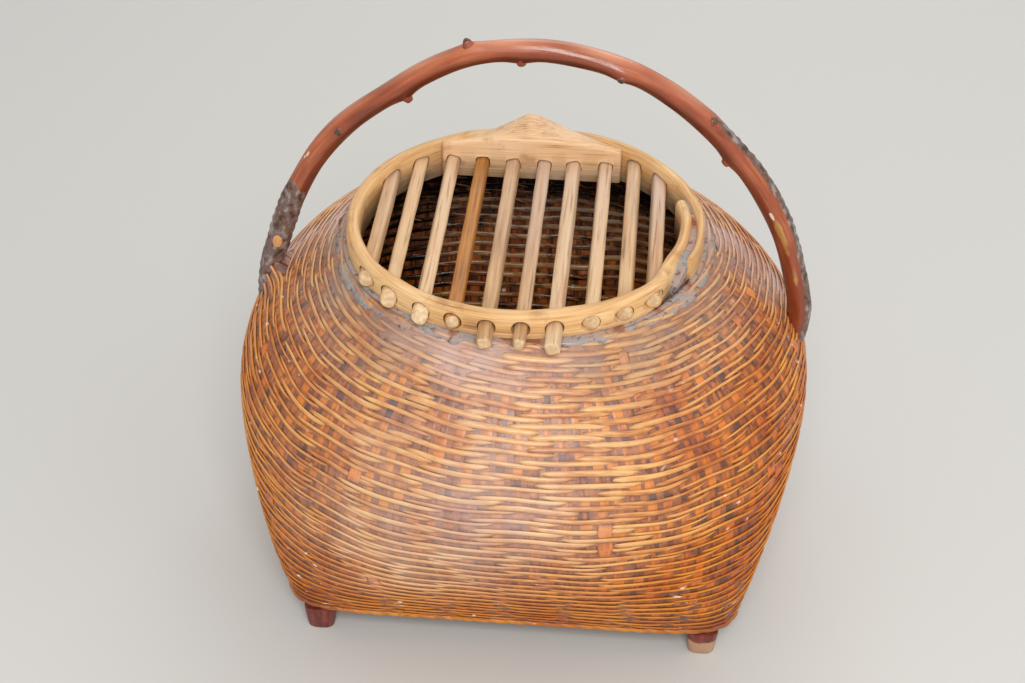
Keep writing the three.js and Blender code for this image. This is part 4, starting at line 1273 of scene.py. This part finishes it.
def spot(place, reach, at_roll, spread):
    """A patch on the branch: a bell along it and round it."""
    return bell((theta, place, reach), (np.angle(np.exp(1j * (roll - at_roll))), 0, spread))


barked = np.maximum(
    smooth_step((theta - BARK_LEFT + BARK_FADE / 2) / BARK_FADE),
    smooth_step((BARK_RIGHT + BARK_FADE / 2 - theta) / BARK_FADE),
)
strip = np.cos(roll + BARK_TURN) - 0.15 + np.clip(BARK_WIDER - theta, 0, 30) / 60
bark_share = np.maximum(
    smooth_step((theta - BARK_LEFT + 2.5 * np.sin(roll + BARK_TURN)) / 5),
    smooth_step((BARK_STRIP - theta) / 6) * smooth_step(strip / 0.25),
)
uneven = 0.03 * np.sin(2 * roll + 0.06 * theta) + 0.025 * np.sin(0.23 * theta + 1.3)
uneven = uneven + 0.018 * np.sin(3 * roll - 0.13 * theta) + 0.012 * np.sin(5 * roll + 0.41 * theta)
radius = (HANDLE_RADIUS + (BARK_RADIUS - HANDLE_RADIUS) * barked) * (1 + uneven)
lumps = np.sin(0.9 * theta + 2 * roll) * np.sin(1.7 * theta - 3 * roll) + 0.6 * np.sin(2.9 * theta + 5 * roll)
radius = radius + bark_share * (0.15 + 0.28 * lumps)
for knot_angle, knot_roll, knot_radius in zip(KNOT_ANGLES, KNOT_ROLLS, KNOT_RADII):
    knot_reach = math.degrees(2.0 * knot_radius / HANDLE_REACH)
    knot_spread = 1.5 * knot_radius / HANDLE_RADIUS
    radius = radius + KNOT_SWELLING * spot(knot_angle, knot_reach, knot_roll, knot_spread)
front = np.array([0.0, -1.0, 0.0])
spoke = np.cos(roll)[..., None] * outward[:, None, :] + np.sin(roll)[..., None] * front
handle_points = line[:, None, :] + radius[..., None] * spoke
handle = new_piece("handle_wood", handle_points, handle_finish)
paint(
    handle, radius.shape, bark=bark_share,
    # Painted highlight on the upward-facing side
    handled=0.62 * smooth_step((spoke[..., 2] - 0.45) / 0.5) * (0.6 + 0.4 * np.sin(0.35 * theta)),
    # Painted shade on the downward-facing side
    under=smooth_step((0.62 - spoke[..., 2] + 0.15 * spoke[..., 1]) / 0.95),
    scrape=np.maximum(spot(144, 2.4, 0.62, 0.5), 0.9 * spot(26.5, 2.2, 1.75, 0.3)),
    bare=np.maximum(1.3 * spot(21, 6.5, 1.68, 0.42), spot(10, 4, 1.5, 0.3)),
)
along = np.radians(theta) * HANDLE_REACH + 0 * roll
grain_points = np.stack([along, radius * np.cos(roll), radius * np.sin(roll)], -1) * MILLIMETRE
grain_layer = handle.data.attributes.new("grain", "FLOAT_VECTOR", "POINT")
grain_layer.data.foreach_set("vector", grain_points.astype(np.float32).reshape(-1))
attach(handle, "basket")
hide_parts("handle_branch")

# Twig stubs. Side twigs were cut close to the branch and have worn to blunt dark knots.
# They are of one wood with it, and only their cut ends are darker.

STUB_TAPER = 0.62
STUB_SIDES = 16
STUB_RINGS = np.array([0.0, 0.62, 0.72, 0.82, 0.92, 0.98, 1.0])
STUB_SPREADS = np.array([1.4, 1.35, 1.2, 1.06, 0.95, 0.75, 0.4])
STUB_END = 0.95
STUB_BLACK = (48, 32, 28)
STUB_BROWN = (124, 82, 60)

stub_finish, tree = new_finish("twig_wood", **POLISHED)
stub_grain = grainy(tree, 600.0, 4.0)
stub_tone = graded(tree, stub_grain, [(0.3, HANDLE_DARK), (0.65, HANDLE_RED)])
stub_end = graded(tree, grainy(tree, 1100.0, 2.0), [(0.4, STUB_BLACK), (0.66, STUB_BROWN)])
stub_tone = mixed(tree, value_of(tree, "end"), stub_tone, stub_end)
finished(tree, stub_tone, stub_grain, 0.6, 0.001, ranged(tree, stub_grain, 0.3, 0.7, 0.4, 0.6))
knot_line, knot_outward = handle_line(KNOT_ANGLES)
stub_axis = np.cos(KNOT_ROLLS)[:, None] * knot_outward + np.sin(KNOT_ROLLS)[:, None] * front
stub_up = np.cross(knot_outward, front)
stub_side = np.cross(stub_axis, stub_up)
stub_angle = full_turn(STUB_SIDES)[None, None, :, None]
stub_length = (HANDLE_RADIUS + KNOT_HEIGHTS)[:, None, None, None] * STUB_RINGS[None, :, None, None]
stub_taper = STUB_SPREADS * (1 - (1 - STUB_TAPER) * STUB_RINGS)
stub_radius = KNOT_RADII[:, None, None, None] * stub_taper[None, :, None, None]
stub_number = np.arange(len(KNOT_ANGLES))[:, None, None, None]
stub_radius = stub_radius * (1 + 0.08 * np.sin(3 * stub_angle + stub_number))
stub_points = knot_line[:, None, None, :] + stub_axis[:, None, None, :] * stub_length
stub_points = stub_points + stub_radius * np.cos(stub_angle) * stub_up[:, None, None, :]
stub_points = stub_points + stub_radius * np.sin(stub_angle) * stub_side[:, None, None, :]
stubs = new_piece("handle_twigs", stub_points, stub_finish)
paint(stubs, stub_points.shape[:-1], end=(STUB_RINGS > STUB_END)[None, :, None])
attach(stubs, "basket")
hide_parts("handle_branch")

# Peg. A short whittled pin of pale wood through the left leg of the handle keeps it from pulling out of
# the weave. Its cut ends show the rings of the wood.

PEG_ANGLE = 167.0
PEG_RADIUS = 3.5
PEG_FLATNESS = (0.86, 1.2)
PEG_HALF_LENGTH = 8.5
PEG_SIDES = 24
PEG_PLACES = np.array([-1.0, -0.98, -0.93, -0.85, 0.85, 0.93, 0.98, 1.0])
PEG_SHARES = np.array([0.7, 0.88, 0.97, 1.0, 1.0, 0.97, 0.88, 0.7])
PEG_BROWN = (186, 118, 66)
PEG_TAN = (222, 164, 104)
PEG_CREAM = (236, 192, 138)

peg_finish, tree = new_finish("peg_grain", roughness=0.6, specular_ior_level=0.3)
peg_middle = handle_line(np.array([PEG_ANGLE]))[0][0]
to_peg = tuple(-peg_middle * MILLIMETRE)
peg_place = node(tree, "Mapping", {"Vector": own_place(tree), "Location": to_peg}).outputs[0]
rings = node(tree, "TexWave", {
    "Vector": peg_place, "Scale": 420.0, "Distortion": 3.0, "Detail": 3.0, "Detail Scale": 2.0,
}, wave_type="RINGS", rings_direction="Y").outputs[1]
peg_tone = worked(tree, "MULTIPLY", rings, grainy(tree, 500.0, 4.0))
peg_colour = graded(tree, peg_tone, [(0.0, PEG_BROWN), (0.3, PEG_TAN), (0.7, PEG_CREAM)])
finished(tree, peg_colour, peg_tone, 0.5, 0.0008)
peg_angle = full_turn(PEG_SIDES)[None, :]
peg_reach = PEG_RADIUS * PEG_SHARES[:, None] * (1 + 0.03 * np.sin(2 * peg_angle))
peg_points = peg_middle + np.stack([
    PEG_FLATNESS[0] * peg_reach * np.sin(peg_angle),
    PEG_HALF_LENGTH * PEG_PLACES[:, None] + 0 * peg_angle,
    PEG_FLATNESS[1] * peg_reach * np.cos(peg_angle),
], -1)
peg = new_piece("handle_pin", peg_points, peg_finish)
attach(peg, "basket")
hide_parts("handle_peg")
